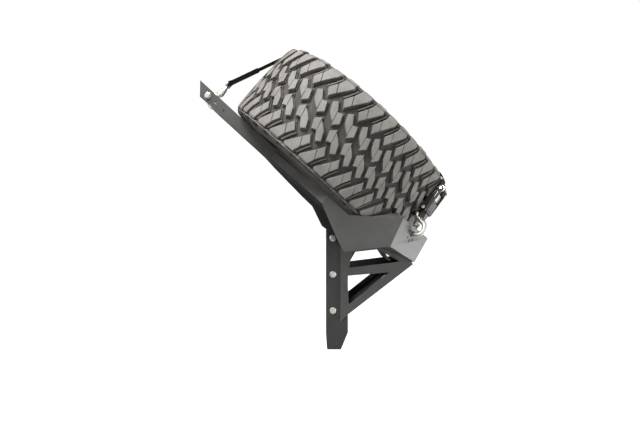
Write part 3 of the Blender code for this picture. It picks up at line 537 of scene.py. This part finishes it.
def lug(outline, levels, cuts):
    """A block of the tread as (points, triangles) in s, t, h, cut across at the given values of t."""
    mesh = bmesh.new()
    rings = [[mesh.verts.new((p.x, p.y, h)) for p in grown(outline, distance)] for distance, h in levels]
    for low, high in zip(rings, rings[1:]):
        for i in range(len(low)):
            n = (i + 1) % len(low)
            mesh.faces.new((low[i], low[n], high[n], high[i]))
    mesh.faces.new(rings[-1])
    mesh.faces.new(rings[0][::-1])
    for t in cuts:
        everything = mesh.verts[:] + mesh.edges[:] + mesh.faces[:]
        bmesh.ops.bisect_plane(mesh, geom=everything, dist=1e-7, plane_co=(0, t, 0), plane_no=(0, 1, 0))
    bmesh.ops.triangulate(mesh, faces=mesh.faces)
    bmesh.ops.recalc_face_normals(mesh, faces=mesh.faces)
    mesh.verts.index_update()
    points = np.array([v.co for v in mesh.verts])
    faces = np.array([[v.index for v in f.verts] for f in mesh.faces])
    mesh.free()
    return points, faces


MM = 0.001
CENTRE_LONG = [(-72.5, 70.5), (-56, 83.5), (-35.5, 55), (-24, 8.5), (-41, 20.5), (-58.5, 37)]
CENTRE_SHORT = [(-35.5, 55), (-33.5, 50.5), (-28, 52.5), (-15, 58), (0, 20), (-20.5, -1.5), (-24, 8.5)]
LUG_TIP = [(-29.5, 135), (-48.5, 101), (-28.5, 72), (-12, 99.5)]
LUG_FACETED = [(-29.5, 135), (-12, 99.5), (23.5, 152), (25.5, 160), (26, 200), (18, 213), (-10, 213),
               (-19, 200), (-21, 159)]
LUG_SLOTTED = [(-29.5, 135), (-12, 99.5), (23.5, 152), (24.5, 158), (19, 166), (-21.5, 166), (-21, 159)]
LUG_END = [(-21.5, 166), (19, 166), (24.5, 174), (25, 192), (16, 199), (-18, 199)]
STEP = [(-55, 101), (-42, 122), (-30, 149), (-25.5, 160), (-31, 163), (-37, 150), (-48, 126), (-59, 106)]
GAP_RIB = [(-41.5, 170), (-25.5, 168), (-24.5, 203), (-41.5, 203)]
SIDE_BLOCK = [(-14, 219), (19, 219), (14, 246), (-9, 246)]
SIDE_WEDGE = [(-17, 206), (20, 206), (6, 232), (-5, 232)]


def turned_over(outline):
    """The outline turned half a turn in the surface, which maps one half of the tread to the other."""
    return [(TURNED_OVER - s, -t) for s, t in outline]


INNER_FACETED = LUG_FACETED[:4] + [(22, 169), (-19, 169), (-21, 159)]
INNER_PATCH = [(-39, 171), (-26, 171), (-26, 181), (-39, 181)]
INNER_LUG = [(-17, 184), (22, 184), (16, 216), (-11, 216)]


def tread_blocks():
    """Outlines of one pitch of the tread, as (outline, kind) pairs. Odd and even pitches end differently."""
    shared = [(CENTRE_LONG, "centre"), (CENTRE_SHORT, "centre"), (LUG_TIP, "shoulder"), (STEP, "step")]
    both = shared + [(turned_over(outline), kind) for outline, kind in shared]
    both += [(GAP_RIB, "gap"), (turned_over(INNER_PATCH), "patch"), (turned_over(INNER_LUG), "side")]
    faceted = [(LUG_FACETED, "faceted"), (SIDE_BLOCK, "side"), (turned_over(INNER_FACETED), "faceted")]
    slotted = [(LUG_SLOTTED, "shoulder"), (LUG_END, "shoulder"), (SIDE_WEDGE, "side"),
               (turned_over(LUG_SLOTTED), "shoulder")]
    return [both + faceted, both + slotted]


CUT_PLACES = (0.02, 0.045, 0.07, 0.095, 0.12, 0.14, 0.150, 0.159, 0.165, 0.171, 0.177, 0.183, 0.189, 0.196,
              0.204, 0.212, 0.222, 0.234)
CUTS = [side * t for side in (-1, 1) for t in CUT_PLACES]
LEVELS = {
    "centre": [(0.0026, -GROOVE - 0.002), (0.0024, -0.0105), (-SIPE, -0.0100), (-SIPE - 0.0002, -0.0010),
               (-SIPE - 0.0012, 0.0)],
    "shoulder": [(0.0030, -GROOVE - 0.002), (0.0028, -0.0110), (-SIPE, -0.0104), (-SIPE - 0.0002, -0.0012),
                 (-SIPE - 0.0014, 0.0)],
    "side": [(0.0010, -0.0080), (-0.0005, -0.0024), (-0.0018, -0.0004)],
    "step": [(0.0010, -GROOVE - 0.002), (-0.0008, -0.0076), (-0.0018, -0.0068)],
    "patch": [(0.0010, -GROOVE - 0.002), (-0.0006, -0.0042), (-0.0018, -0.0030)],
    "gap": [(0.0010, -GROOVE - 0.002), (-0.0008, -0.0108), (-0.0024, -0.0098)],
}
LEVELS["faceted"] = LEVELS["shoulder"]


def set_lift(thing, values):
    """How far up a block each point is, for the rubber's colour: 0 in the grooves to 1 on the tops."""
    lift = thing.data.attributes.new("lift", "FLOAT", "POINT")
    lift.data.foreach_set("value", values.astype(np.float32))


def build_tread():
    """All the blocks as one mesh; lift is how far up the block each point is, dimmed on the inner lug ends as
    painted shade.
    """
    all_points, all_faces, all_lift = [], [], []
    table = pitch_table()
    start = 0
    pitches = [[(kind, *lug([(s * MM, t * MM) for s, t in outline], LEVELS[kind], CUTS))
                for outline, kind in blocks] for blocks in tread_blocks()]
    for i in range(PITCHES):
        for kind, points, faces in pitches[i % 2]:
            s, t, h = points[:, 0] / (NOMINAL_PITCH * MM) + i, points[:, 1], points[:, 2]
            if kind == "faceted":
                h = h - np.interp(np.abs(t), [0.159, 0.171, 0.183, 0.204], [0.0, 0.0046, 0.0046, 0.0])
            round_tread = np.interp(s, np.arange(-1, PITCHES + 2), table)
            all_points.append(SKIN.at(round_tread / TYRE_RADIUS, t, h))
            # painted shade: past t = -0.161 the inner side's lug ends keep only 0.3 of their lift and so turn
            # dark; the patches keep theirs
            inner_end_shade = 1.0 if kind == "patch" else np.interp(t, [-0.172, -0.161], [0.30, 1.0])
            all_lift.append(np.clip(1 + points[:, 2] / GROOVE, 0, 1) * inner_end_shade)
            all_faces.append(faces + start)
            start += len(points)
    thing = piece("tyre_tread", np.concatenate(all_points), np.concatenate(all_faces), [TYRE], angle=14.0)
    set_lift(thing, np.concatenate(all_lift))
    settle(thing, "root", "tyre")


def hump(t, place, half, height):
    """A rounded ring on the sidewall."""
    return height * np.clip(1 - ((np.abs(t) - place) / half) ** 2, 0, 1) ** 0.5


def build_casing():
    """The casing under the blocks with its sidewall rings, open towards the rim."""
    side = np.concatenate([np.linspace(0.13, 0.20, 16), np.linspace(0.202, 0.212, 9),
                           np.linspace(0.215, SKIN.end, 84)])
    t = np.concatenate([-side[::-1], np.linspace(-0.12, 0.12, 13), side])
    ridge = np.where(t > 0, hump(t, 0.2065, 0.0032, 0.0085), hump(t, 0.1760, 0.0030, 0.0115))
    rings = ridge + hump(t, 0.262, 0.0035, 0.0014) + hump(t, 0.300, 0.0020, 0.0010)
    rings = rings + hump(t, 0.307, 0.0020, 0.0010) + hump(t, SKIN.end - 0.030, 0.0090, 0.0014)
    h = rings - groove_depth(t)
    steps = 264
    inner = [(BEAD_RADIUS + 0.0010, 0.1495), (BEAD_RADIUS + 0.0010, 0.1330), (BEAD_RADIUS + 0.030, 0.1400),
             (TYRE_RADIUS - 0.125, 0.171), (TYRE_RADIUS - 0.045, 0.158), (TYRE_RADIUS - 0.034, 0.0)]
    inner = np.array(inner + [(r, -v) for r, v in inner[-2::-1]])
    count, inner_count = len(t), len(inner)
    rows = []
    for angle in turn_steps(steps):
        rows.append(SKIN.at(np.full(count, angle), t, h))
        rows.append(SKIN.place(inner[:, 0], inner[:, 1], np.full(inner_count, angle)))
    faces = tube_faces(steps, count + inner_count, True)
    thing = piece("tyre_casing", np.concatenate(rows), faces, [TYRE], outward=True)
    value = np.interp(np.abs(t), [0.19, 0.26], [0.14, 0.34]) + rings * 70
    set_lift(thing, np.tile(np.concatenate([value, np.full(inner_count, 0.2)]), steps))
    settle(thing, "root", "tyre", "tyre")


def build_serrations():
    """The fine radial ribs between two rings of each sidewall."""
    points, faces = [], []
    for middle in turn_steps(240):
        for side in (-1, 1):
            start = len(points)
            for along in (0.266, 0.274, 0.285, 0.2955):
                for offset, h in ((-0.0016, -0.0022), (0.0, -0.0006), (0.0016, -0.0022)):
                    angle = middle + offset / 0.40
                    points.append(SKIN.at(np.array([angle]), np.array([side * along]), np.array([h]))[0])
            for row in range(3):
                for j in range(2):
                    a = start + row * 3 + j
                    faces.append((a, a + 1, a + 4, a + 3) if side > 0 else (a, a + 3, a + 4, a + 1))
    thing = piece("tyre_serrations", points, faces, [TYRE])
    set_lift(thing, np.full(len(points), 0.40))
    settle(thing, "root", "tyre")


build_casing()
build_tread()
build_serrations()


# Wheel
WINDOW_RADIUS = 0.139                              # from the axle to the middle of each window
LUG_SEAT_RADIUS = 0.0635
SEAM_RADIUS, SEAM_HEIGHT = 0.1854, 0.0570          # where the disc's edge meets the barrel


def carved(thing, cutters):
    """Cuts the cutters out of a piece and throws them away."""
    for cutter in cutters:
        modifier = thing.modifiers.new("cut", "BOOLEAN")
        modifier.operation = "DIFFERENCE"
        modifier.solver = "EXACT"
        modifier.object = cutter
    graph = bpy.context.evaluated_depsgraph_get()
    data = bpy.data.meshes.new_from_object(thing.evaluated_get(graph))
    thing.modifiers.clear()
    thing.data = data
    for cutter in cutters:
        bpy.data.objects.remove(cutter)
    return thing


def rounded(thing, width, corner=30.0):
    """Rounds a piece's edges over, the rounding in its second material."""
    mesh = bmesh.new()
    mesh.from_mesh(thing.data)
    bmesh.ops.remove_doubles(mesh, verts=mesh.verts, dist=1e-5)
    bevelled(mesh, width, corner)
    mesh.to_mesh(thing.data)
    mesh.free()
    balance_normals(thing)
    return thing


def cutters(label, count, first, distance, profile, steps):
    """Turned cutters round the wheel's axle, the first of them at an angle in degrees."""
    found = []
    for i in range(count):
        turn = Matrix.Rotation(math.radians(360 / count * i + first), 4, "Z")
        matrix = WHEEL @ turn @ Matrix.Translation((distance, 0, 0))
        found.append(turned(f"{label}_{i}", profile, steps, [], matrix))
    return found


def build_wheel():
    """The barrel with its rolled rim flanges, and the dished disc with its windows and lug seats."""
    b = BEAD_RADIUS
    outside = [(b + 0.016, 0.1545), (b + 0.017, 0.1585), (b + 0.012, 0.1605), (b - 0.006, 0.1580),
               (b - 0.008, 0.1300), (b - 0.030, 0.1000), (b - 0.030, -0.0400), (b - 0.012, -0.1000),
               (b - 0.008, -0.1580), (b + 0.012, -0.1605), (b + 0.017, -0.1585), (b + 0.016, -0.1545)]
    inside = [(b, -0.1510), (b, -0.1000), (b - 0.023, -0.0350), (b - 0.023, 0.0970), (b, 0.1290), (b, 0.1510)]
    profile = chaikin(outside, 2) + chaikin(inside, 1)
    barrel = turned("barrel_skin", profile, 144, [WHEEL_PAINT, WHEEL_EDGE_HIGHLIGHT], WHEEL)
    settle(barrel, "root", "wheel_paint", "wheel_barrel")

    face = chaikin([(0.052, 0.060), (0.052, 0.074), (0.075, 0.076), (0.110, 0.092), (0.150, 0.090),
                    (b - 0.0306, 0.070)], 2)
    back = chaikin([(b - 0.0306, 0.058), (0.148, 0.080), (0.112, 0.082), (0.078, 0.062)], 2)
    disc = turned("disc_skin", face + back, 120, [WHEEL_PAINT, WHEEL_EDGE_HIGHLIGHT], WHEEL)
    window = [(0.0001, 0), (0.019, 0), (0.019, 0.15), (0.0001, 0.15)]
    seat = [(0.0001, 0.03), (0.0075, 0.03), (0.0075, 0.0705),
            (0.0125, 0.0765), (0.0125, 0.12), (0.0001, 0.12)]
    carved(disc, cutters("window", 8, 22.5, WINDOW_RADIUS, window, 32)
           + cutters("seat", 5, 90, LUG_SEAT_RADIUS, seat, 24))
    rounded(disc, 0.0008)
    settle(disc, "root", "wheel_paint", "wheel_disc")

    seam = [WHEEL @ Vector((x, y, SEAM_HEIGHT)) for x, y in ring_section(SEAM_RADIUS, 220)]
    weld("disc_weld", seam, 0.0028, WHEEL_PAINT, "wheel_paint", cyclic=True)
    softened("valve_stem", 0.0004)


RIPPLE = 0.0042 * 2 / 1.7                          # from one ripple of a weld bead to the next


def weld(name, line, radius, material=None, slot="powder_coat", cyclic=False):
    """A weld bead along a line: overlapping ripples, a little uneven."""
    places = tube_places(line if cyclic else dense(line, 0.0014), cyclic)
    points, sides = [], 8
    travelled = 0.0
    for i, (origin, a, b) in enumerate(places):
        travelled += (origin - places[i - 1][0]).length if i else 0.0
        ripple = 1 - 0.22 * abs(math.sin(travelled / RIPPLE * math.pi))
        uneven = 1 + 0.12 * noise.noise(origin * 60)
        for angle in turn_steps(sides):
            points.append(origin + (a * math.cos(angle) + b * math.sin(angle)) * radius * ripple * uneven)
    faces = tube_faces(len(places), sides, cyclic)
    thing = piece(name, points, faces, [material or COAT], None, 80.0, True)
    return settle(thing, "root", slot)


build_wheel()


# Tie-down: each leg lies in a plane with its own frame, X out from the wheel's axis and Y out along the axle
def radial(angle):
    return DOWN * math.cos(angle) + ACROSS * math.sin(angle)


def leg_frame(angle):
    return frame_of(WHEEL_CENTRE, radial(angle), OUT)


def lower_hook_frame(side):
    angle = side * LEG_ANGLE
    tilt = math.radians(33)
    pull = OUT * math.cos(tilt) - radial(angle) * math.sin(tilt)
    shank = OUT * math.sin(tilt) + radial(angle) * math.cos(tilt)
    return frame_of(leg_frame(angle) @ Vector((0.5285, -0.0463, 0)), pull, shank)


def top_hook_frame():
    low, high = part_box("crossbar")
    centre = Vector((0, (low.y + high.y) / 2, (low.z + high.z) / 2))
    pull = (OUT * 0.995 - DOWN * 0.10).normalized()
    shank = ACROSS.cross(pull).normalized()
    if shank.dot(DOWN) > 0:
        shank = -shank
    slack = HOOK_BOWL - HOOK_BAR - (high.z - low.z) / 2 - 0.0005
    return frame_of(centre + pull * slack, pull, shank)


def smooth_line(points, steps):
    """A Catmull-Rom line through 2-D points."""
    points = [Vector(p) for p in points]
    ends = [points[0] * 2 - points[1]] + points + [points[-1] * 2 - points[-2]]
    found = []
    for a, b, c, d in zip(ends, ends[1:], ends[2:], ends[3:]):
        for i in range(steps):
            t = i / steps
            found.append(0.5 * ((2 * b) + (c - a) * t + (2 * a - 5 * b + 4 * c - d) * t * t
                                + (3 * b - a - 3 * c + d) * t ** 3))
    return found + [points[-1]]


def arc(centre, radius, start, end, count):
    """Points on an arc, its angles in degrees."""
    found = []
    for i in range(count + 1):
        angle = math.radians(start + (end - start) * i / count)
        found.append((centre[0] + radius * math.cos(angle), centre[1] + radius * math.sin(angle)))
    return found


# Along a hook's bar, by share of its length from the tip: its thickness, and how far it broadens outwards
HOOK_SIZE = [0.0, 0.015, 0.05, 0.12, 0.80, 1.0], [0.35, 0.62, 0.82, 1.0, 1.0, 0.86]
HOOK_BREADTH = [0.0, 0.10, 0.25, 0.80, 0.97, 1.0], [0.0, 0.5, 1.0, 1.0, 0.2, 0.0]
HOOK_NECK = [0.026, 0.034, 0.070, 0.084], [0.0, 1.0, 1.0, 0.0]     # the long neck's swelling, by place


def build_hook(label, matrix, eye_place=HOOK_EYE):
    """A forged hook, broader in its own plane than across it, with a bent wire eye."""
    bowl = arc((0, 0), HOOK_BOWL, -70, -262, 30)
    shank = smooth_line([bowl[-1], (0.012, 0.0258), (0.022, 0.0200), (0.031, 0.0100), (0.0375, 0.0030),
                         (0.0425, 0.0)], 5)
    neck = 0.75 if eye_place > HOOK_EYE else 0.0
    if neck:
        shank += [Vector((HOOK_EYE - 0.0135 + (eye_place - HOOK_EYE) * i / 12, 0)) for i in range(1, 13)]
    line = [Vector((*p, 0)) for p in bowl[:-1]] + [Vector((*p, 0)) for p in shank]
    along = [0.0]
    for a, b in zip(line, line[1:]):
        along.append(along[-1] + (b - a).length)
    total = along[-1]
    count, points = 16, []
    for i, here in enumerate(line):
        tangent = (line[min(i + 1, len(line) - 1)] - line[max(i - 1, 0)]).normalized()
        outward = Vector((-tangent.y, tangent.x, 0))
        share = along[i] / total
        size = float(np.interp(share, *HOOK_SIZE))
        broad = float(np.interp(share, *HOOK_BREADTH))
        stout = 1 + neck * float(np.interp(here.x, *HOOK_NECK)) if i > len(bowl) else 1.0
        for angle in turn_steps(count):
            reach = math.cos(angle) * HOOK_BAR * size * stout
            if reach > 0:
                reach *= 1 + 0.95 * broad
            rise = math.sin(angle) * HOOK_BAR * size * 0.96 * stout
            points.append(here + outward * reach + Vector((0, 0, rise)))
    bar = piece(f"hook_{label}_bar", points, tube_faces(len(line), count), [ZINC], matrix, 60.0, True)
    settle(bar, "root", "zinc", "hook_" + label)

    half, low, high = 0.0310, eye_place - 0.014, eye_place
    corners = [(low, 0, -half), (high, 0, -half), (high, 0, half), (low, 0, half)]
    loop = [matrix @ p for p in rounded_line(corners, 0.0065, 6, True)]
    eye = swept(f"hook_{label}_loop", tube_places(loop, True), ring_section(EYE_BAR), [ZINC],
                cyclic=True, uv=False, angle=60.0)
    settle(eye, "root", "zinc")
    boss = turned(f"hook_{label}_boss", [(0.0, -0.0095), (0.0042, -0.0085), (0.0062, -0.0045), (0.0066, 0.0),
                                         (0.0062, 0.0045), (0.0042, 0.0085), (0.0, 0.0095)], 20, [ZINC],
                  matrix @ Matrix.Translation((low + 0.0005, 0, 0)), False)
    settle(boss, "root", "zinc")
    softened("keeper_" + label, 0.0005)


def web_section(width, thickness):
    """A flat band's section with rounded selvedges."""
    half, side = thickness / 2, width / 2 - thickness / 2
    right = [(side + half * math.cos(a), half * math.sin(a)) for a in (-1.2, -0.6, 0.0, 0.6, 1.2)]
    return right + [(-x, -y) for x, y in right]


def web_places(line, matrix, cyclic=False):
    """Places for a band that runs along a 2-D line in a leg's plane, flat across it."""
    across = (matrix.to_3x3() @ Vector((0, 0, 1))).normalized()
    line = [Vector((*p, 0)) for p in line]
    last = len(line) - 1
    found = []
    for i, here in enumerate(line):
        after = line[(i + 1) % len(line)] if cyclic else line[min(i + 1, last)]
        before = line[i - 1] if cyclic else line[max(i - 1, 0)]
        along = (after - before).normalized()
        normal = (matrix.to_3x3() @ Vector((-along.y, along.x, 0))).normalized()
        found.append((matrix @ here, across, normal))
    return found


def with_loop(line, bar, radius, tail, spread=0.026):
    """A line that ends in a sewn loop round a bar: in along one side of it, round, and back for a tail."""
    line = [Vector(p) for p in line]
    bar = Vector(bar)
    while (line[-1] - bar).length < spread:
        line.pop()
    along = (bar - line[-1]).normalized()
    ring = radius + WEB_THICK / 2
    tangent = math.degrees(math.atan2(-along.x, along.y))
    turns = [Vector(p) for p in arc(bar, ring, tangent, tangent + 180, 14)]
    back = line[:0:-1]
    lay = WEB_THICK * 1.04
    found, travelled = [], 0.0
    for i, here in enumerate(back):
        if i:
            travelled += (here - back[i - 1]).length
        if travelled > tail:
            break
        step = (back[i] - back[i + 1]).normalized() if i + 1 < len(back) else along
        found.append(here + Vector((-step.y, step.x)) * lay)
    return line + turns + found


def over_shoulder():
    lift = 0.0005 + WEB_THICK / 2
    side = TYRE_HALF_WIDTH + lift
    r, tread = TYRE_RADIUS, TREAD_HALF_WIDTH
    return [(SLOT_BAR + 0.0085, PLATE_LEVEL), (r - 0.190, side + 0.001), (r - 0.108, side + 0.0003),
            (r - 0.070, side - 0.0018), (r - 0.030 + lift * 0.9, tread + 0.0125 + lift * 0.5),
            (r - 0.0105 + lift, tread + 0.004 + lift * 0.2), (r - 0.006 + lift, tread - 0.003)]


def web(name, line, angle, node, body="root", width=WEB_WIDTH):
    band = swept(name, web_places(line, leg_frame(angle)), web_section(width, WEB_THICK), [WEBBING])
    return settle(band, body, "webbing", node)


STITCH_PITCH, STITCH_HALF, STITCH_RISE = 0.0034, 0.00045, 0.00055


def stitch_box(name, start, along, normal, width, length, angle):
    """A sewn box with a cross in it, as single stitches, on a leg at a 2-D start."""
    matrix = leg_frame(angle)
    start, along, normal = Vector(start), Vector(along).normalized(), Vector(normal).normalized()
    w = width / 2 - 0.004
    corners = [(0, -w), (length, -w), (length, w), (0, w)]
    lines = list(zip(corners, corners[1:] + corners[:1])) + [((0, -w), (length, w)), ((0, w), (length, -w))]
    lines += [((length / 2, -w), (length / 2, w))]
    points, faces = [], []
    for a, b in lines:
        a, b = Vector(a), Vector(b)
        run = (b - a).normalized()
        cross = Vector((-run.y, run.x)) * STITCH_HALF
        for i in range(int((b - a).length / STITCH_PITCH)):
            p, q = a + run * (i * STITCH_PITCH + 0.0004), a + run * (i * STITCH_PITCH + 0.0028)
            first = len(points)
            for here, half, h in ((p, 0.4, 0.0), ((p * 2 + q) / 3, 1.0, STITCH_RISE),
                                  ((p + q * 2) / 3, 1.0, STITCH_RISE), (q, 0.4, 0.0)):
                for side in (-half, half):
                    flat = here + cross * side
                    plane = start + along * flat.x + normal * h
                    points.append(matrix @ Vector((plane.x, plane.y, flat.y)))
            for j in range(3):
                faces.append((first + 2 * j, first + 2 * j + 1, first + 2 * j + 3, first + 2 * j + 2))
    thing = piece(name, points, faces, [THREAD])
    return settle(thing, "root", "webbing")


def in_leg(place, angle):
    local = leg_frame(angle).inverted() @ place
    return Vector((local.x, local.y))


def build_straps():
    """The legs with their sewn loops, and the link under the ratchet."""
    shoulder = smooth_line(over_shoulder(), 6)
    plate = (SLOT_BAR, PLATE_LEVEL)
    inner_tail, outer_tail = 0.070, 0.058

    def leg(name, run, angle, end_bar=None):
        line = dense(run)
        if end_bar is not None:
            line = with_loop(line, end_bar, LOOP_BAR, outer_tail)
        line = with_loop(line[::-1], plate, LOOP_PLATE, inner_tail)[::-1]
        web(name + "_web", line, angle, name)

    top_eye = in_leg(top_hook_frame() @ Vector((TOP_HOOK_EYE, 0, 0)), math.pi)
    leg("strap_top", shoulder + [top_eye], math.pi, top_eye)
    right_eye = in_leg(lower_hook_frame(1) @ Vector((HOOK_EYE, 0, 0)), LEG_ANGLE)
    tread = TYRE_RADIUS + 0.0005 + WEB_THICK / 2
    leg("strap_right", shoulder + [Vector((tread, 0.100)), Vector((tread, 0.060)), right_eye],
        LEG_ANGLE, right_eye)
    under_roll = RATCHET_SPOOL[0] - ROLL_RADIUS - 0.0005 - WEB_THICK / 2
    leg("strap_left", shoulder + [Vector((max(tread, under_roll), RATCHET_SPOOL[1] + 0.012)),
                                  Vector((under_roll, RATCHET_SPOOL[1]))], -LEG_ANGLE)
    ahead = (Vector(over_shoulder()[1]) - Vector(over_shoulder()[0])).normalized()
    out = Vector((-ahead.y, ahead.x))
    start = Vector(shoulder[0]) + Vector((0.020, -0.0008)) + out * (WEB_THICK * 1.5 + 0.0002)
    for label, angle in (("top", math.pi), ("left", -LEG_ANGLE), ("right", LEG_ANGLE)):
        stitch_box(f"stitch_{label}", start, ahead, out, WEB_WIDTH, 0.042, angle)

    eye = in_leg(lower_hook_frame(-1) @ Vector((HOOK_EYE, 0, 0)), -LEG_ANGLE)
    bolt = Vector(RATCHET_BOLT)
    ahead = (bolt - eye).normalized()
    facing = math.degrees(math.atan2(ahead.y, ahead.x))
    ring = LOOP_BAR + WEB_THICK / 2
    sling = arc(eye, ring, facing + 90, facing + 270, 14)
    side = Vector((-ahead.y, ahead.x))
    middle = (eye + bolt) / 2
    sling += [tuple(middle - side * (ring * 0.72))]
    sling += arc(bolt, ring, facing - 90, facing + 90, 14)
    sling += [tuple(middle + side * (ring * 0.72))]
    places = web_places(sling, leg_frame(-LEG_ANGLE), True)
    link = swept("strap_link_web", places, web_section(0.040, WEB_THICK), [WEBBING], True)
    settle(link, "root", "webbing", "strap_link")


def build_sleeve():
    """The guard sleeve round the top leg's straight run, a tube sewn flat with frayed lips."""
    eye = in_leg(top_hook_frame() @ Vector((TOP_HOOK_EYE, 0, 0)), math.pi)
    high = Vector(over_shoulder()[-1])
    along = (high - eye).normalized()
    matrix = leg_frame(math.pi) @ Matrix.Translation((*(eye + along * 0.016), 0))
    matrix = matrix @ Matrix.Rotation(math.atan2(along.y, along.x), 4, "Z")
    length, steps = 0.132, 44
    sections = []
    across = matrix.to_3x3() @ Vector((0, 0, 1))
    up = matrix.to_3x3() @ Vector((0, 1, 0))
    outer = [(math.copysign(abs(math.cos(a)) ** 0.55, math.cos(a)) * 0.0297,
              math.copysign(abs(math.sin(a)) ** 0.8, math.sin(a)) * 0.0053) for a in turn_steps(28)]
    inner = [(x * 0.92, y * 0.72) for x, y in outer]
    points = []
    for i in range(steps + 1):
        share = i / steps
        centre = matrix @ Vector((length * share, 0, 0))
        for ring in (outer, inner):
            sections.append(len(points))
            for j, (x, y) in enumerate(ring):
                crumple = 1 + 0.10 * noise.noise(Vector((share * 9, j * 0.45, 3.0))) - 0.05
                lip = 1 + (0.05 if i in (0, 1, steps - 1, steps) and ring is outer else 0.0)
                points.append(centre + across * x + up * (y * crumple * lip))
    count = len(outer)
    faces = []
    for i in range(steps):
        for ring in (0, 1):
            a, b = sections[2 * i + ring], sections[2 * i + 2 + ring]
            for j in range(count):
                k = (j + 1) % count
                quad = (a + j, b + j, b + k, a + k)
                faces.append(quad if ring == 0 else quad[::-1])
    for i in (0, steps):
        a, b = sections[2 * i], sections[2 * i + 1]
        for j in range(count):
            k = (j + 1) % count
            quad = (a + j, a + k, b + k, b + j)
            faces.append(quad if i == 0 else quad[::-1])
    thing = piece("sleeve_cloth", points, faces, [SLEEVE], None, 60.0, True)
    layer = thing.data.uv_layers.new(name="UVMap")
    for loop in thing.data.loops:
        row, j = divmod(loop.vertex_index, count)
        layer.data[loop.index].uv = (length * (row // 2) / steps, j * 0.0045)
    settle(thing, "root", "webbing", "strap_sleeve")


def build_roll():
    """The webbing wound on the spool, as one spiral band."""
    anchor = leg_frame(-LEG_ANGLE) @ Vector((*RATCHET_SPOOL, 0))
    matrix = frame_of(anchor, OUT, radial(-LEG_ANGLE))
    turns, steps = 3.2, 120
    line = []
    for i in range(steps + 1):
        share = i / steps
        radius = 0.0078 + (ROLL_RADIUS - 0.0012 - 0.0078) * share
        angle = 2 * math.pi * turns * share - math.pi / 2
        line.append((radius * math.cos(angle), radius * math.sin(angle)))
    places = web_places(line, matrix)
    band = swept("webbing_spiral", places, web_section(0.0404, 0.0021), [WEBBING])
    settle(band, "spool_body", "webbing", "webbing_roll")


build_hook("top", top_hook_frame(), TOP_HOOK_EYE)
build_hook("left", lower_hook_frame(-1))
build_hook("right", lower_hook_frame(1))
softened("centre_plate", 0.0009)
build_straps()
build_sleeve()
build_roll()
for node, width in (("ratchet_frame", 0.0006), ("ratchet_handle", 0.0006), ("ratchet_spool", 0.0003),
                    ("ratchet_end_bolt", 0.0005), ("holding_pawl", 0.0004), ("driving_pawl", 0.0004)):
    softened(node, width)


# Carrier
PLATES = ("rail_left", "rail_right", "spine_side_left", "spine_side_right", "keel_side_left",
          "keel_side_right", "keel_belly", "keel_brace", "spine_plate_upper", "spine_plate_lower",
          "wing_left", "wing_right", "rear_wall", "floor_left", "floor_right", "tailgate_bracket")
for node in PLATES:
    softened(node, 0.0011)
softened("tread_rest", 0.004)
FASTENERS = [node for node in NODES if node.startswith(("side_bolt", "side_nut", "crossbar"))]
for node in sorted(FASTENERS):
    softened(node, 0.0006, 50.0)


# Weld
def build_keel_weld():
    """The bead across the keel at the cradle's lower rear corner."""
    low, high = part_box("keel_belly")
    weld("keel_tip_weld", [(low.x, -0.3605, 0.1430), (high.x, -0.3605, 0.1430)], 0.0070)


build_keel_weld()


# Stage
FLOOR_HALF, FLOOR_LEVEL = 30, -1.05
WHITE = (1, 1, 1, 1)


def build_stage():
    """A pale floor and a soft sky, both white to the camera itself."""
    corners = [(x * FLOOR_HALF, y * FLOOR_HALF, FLOOR_LEVEL) for x, y in ((-1, -1), (1, -1), (1, 1), (-1, 1))]
    floor = piece("floor", corners, [(0, 1, 2, 3)], [])
    s = Shader("floor", Specular_IOR_Level=0.1)
    s.colour(s.mix(s.noise(1.5, 3.0), (0.40, 0.40, 0.40), (0.44, 0.44, 0.44)))
    s.roughness(s.remap(s.noise(4.0), 0.3, 0.7, 0.85, 0.95))
    s.feed(s.shader.inputs["Emission Color"], WHITE)
    s.feed(s.shader.inputs["Emission Strength"], s.add("LightPath").outputs["Is Camera Ray"])
    floor.data.materials.append(s.material)

    world = bpy.data.worlds.new("studio")
    bpy.context.scene.world = world
    sky = Nodes(world)
    height = sky.add("SeparateXYZ", {"Vector": sky.add("TexCoord").outputs["Generated"]}).outputs["Z"]
    glow = sky.add("MapRange", {"Value": height, "From Min": -0.1, "To Min": 0.10, "To Max": 0.85})
    lighting = sky.tree.nodes["Background"]
    for socket, value in (("Color", WHITE), ("Strength", glow.outputs["Result"])):
        sky.feed(lighting.inputs[socket], value)
    seen = sky.add("Background", {"Color": WHITE, "Strength": 1.05})
    choice = sky.add("MixShader", {"Fac": sky.add("LightPath").outputs["Is Camera Ray"],
                                   1: lighting.outputs[0], 2: seen.outputs[0]})
    sky.feed(sky.tree.nodes["World Output"].inputs["Surface"], choice.outputs[0])
    bpy.context.scene.view_settings.view_transform = "Standard"


def area_light(name, place, target, size, power):
    light = bpy.data.lights.new(name, "AREA")
    light.shape = "DISK"
    light.size = size
    light.energy = power
    thing = in_scene(name, light)
    thing.location = place
    thing.rotation_euler = (Vector(target) - Vector(place)).to_track_quat("-Z", "Y").to_euler()


def build_camera():
    """The camera stands off the vehicle's left side, level, and looks straight across it."""
    camera = in_scene("camera", bpy.data.cameras.new("camera"))
    camera.location = (-2.31, 0.038, 0.335)
    camera.rotation_euler = (math.pi / 2, 0, -math.pi / 2)
    camera.data.sensor_width = 36.0
    camera.data.lens = 28.52
    camera.data.shift_x = 0.0031
    camera.data.shift_y = 0.0048
    bpy.context.scene.camera = camera


build_stage()
area_light("key", (-1.5, 0.8, 2.75), (0, 0, 0.6), 1.3, 118)
area_light("fill", (-2.6, -1.0, -0.2), (-0.2, -0.1, 0.2), 1.2, 15)
area_light("front", (-1.9, 2.6, 0.9), (0, 0.1, 0.5), 1.2, 24)
area_light("rear", (-1.1, -3.1, 0.2), (0, -0.5, 0.2), 1.0, 60)
area_light("glint", (0.72, -1.87, -0.66), (-0.24, -0.34, 0.20), 0.9, 14)
build_camera()
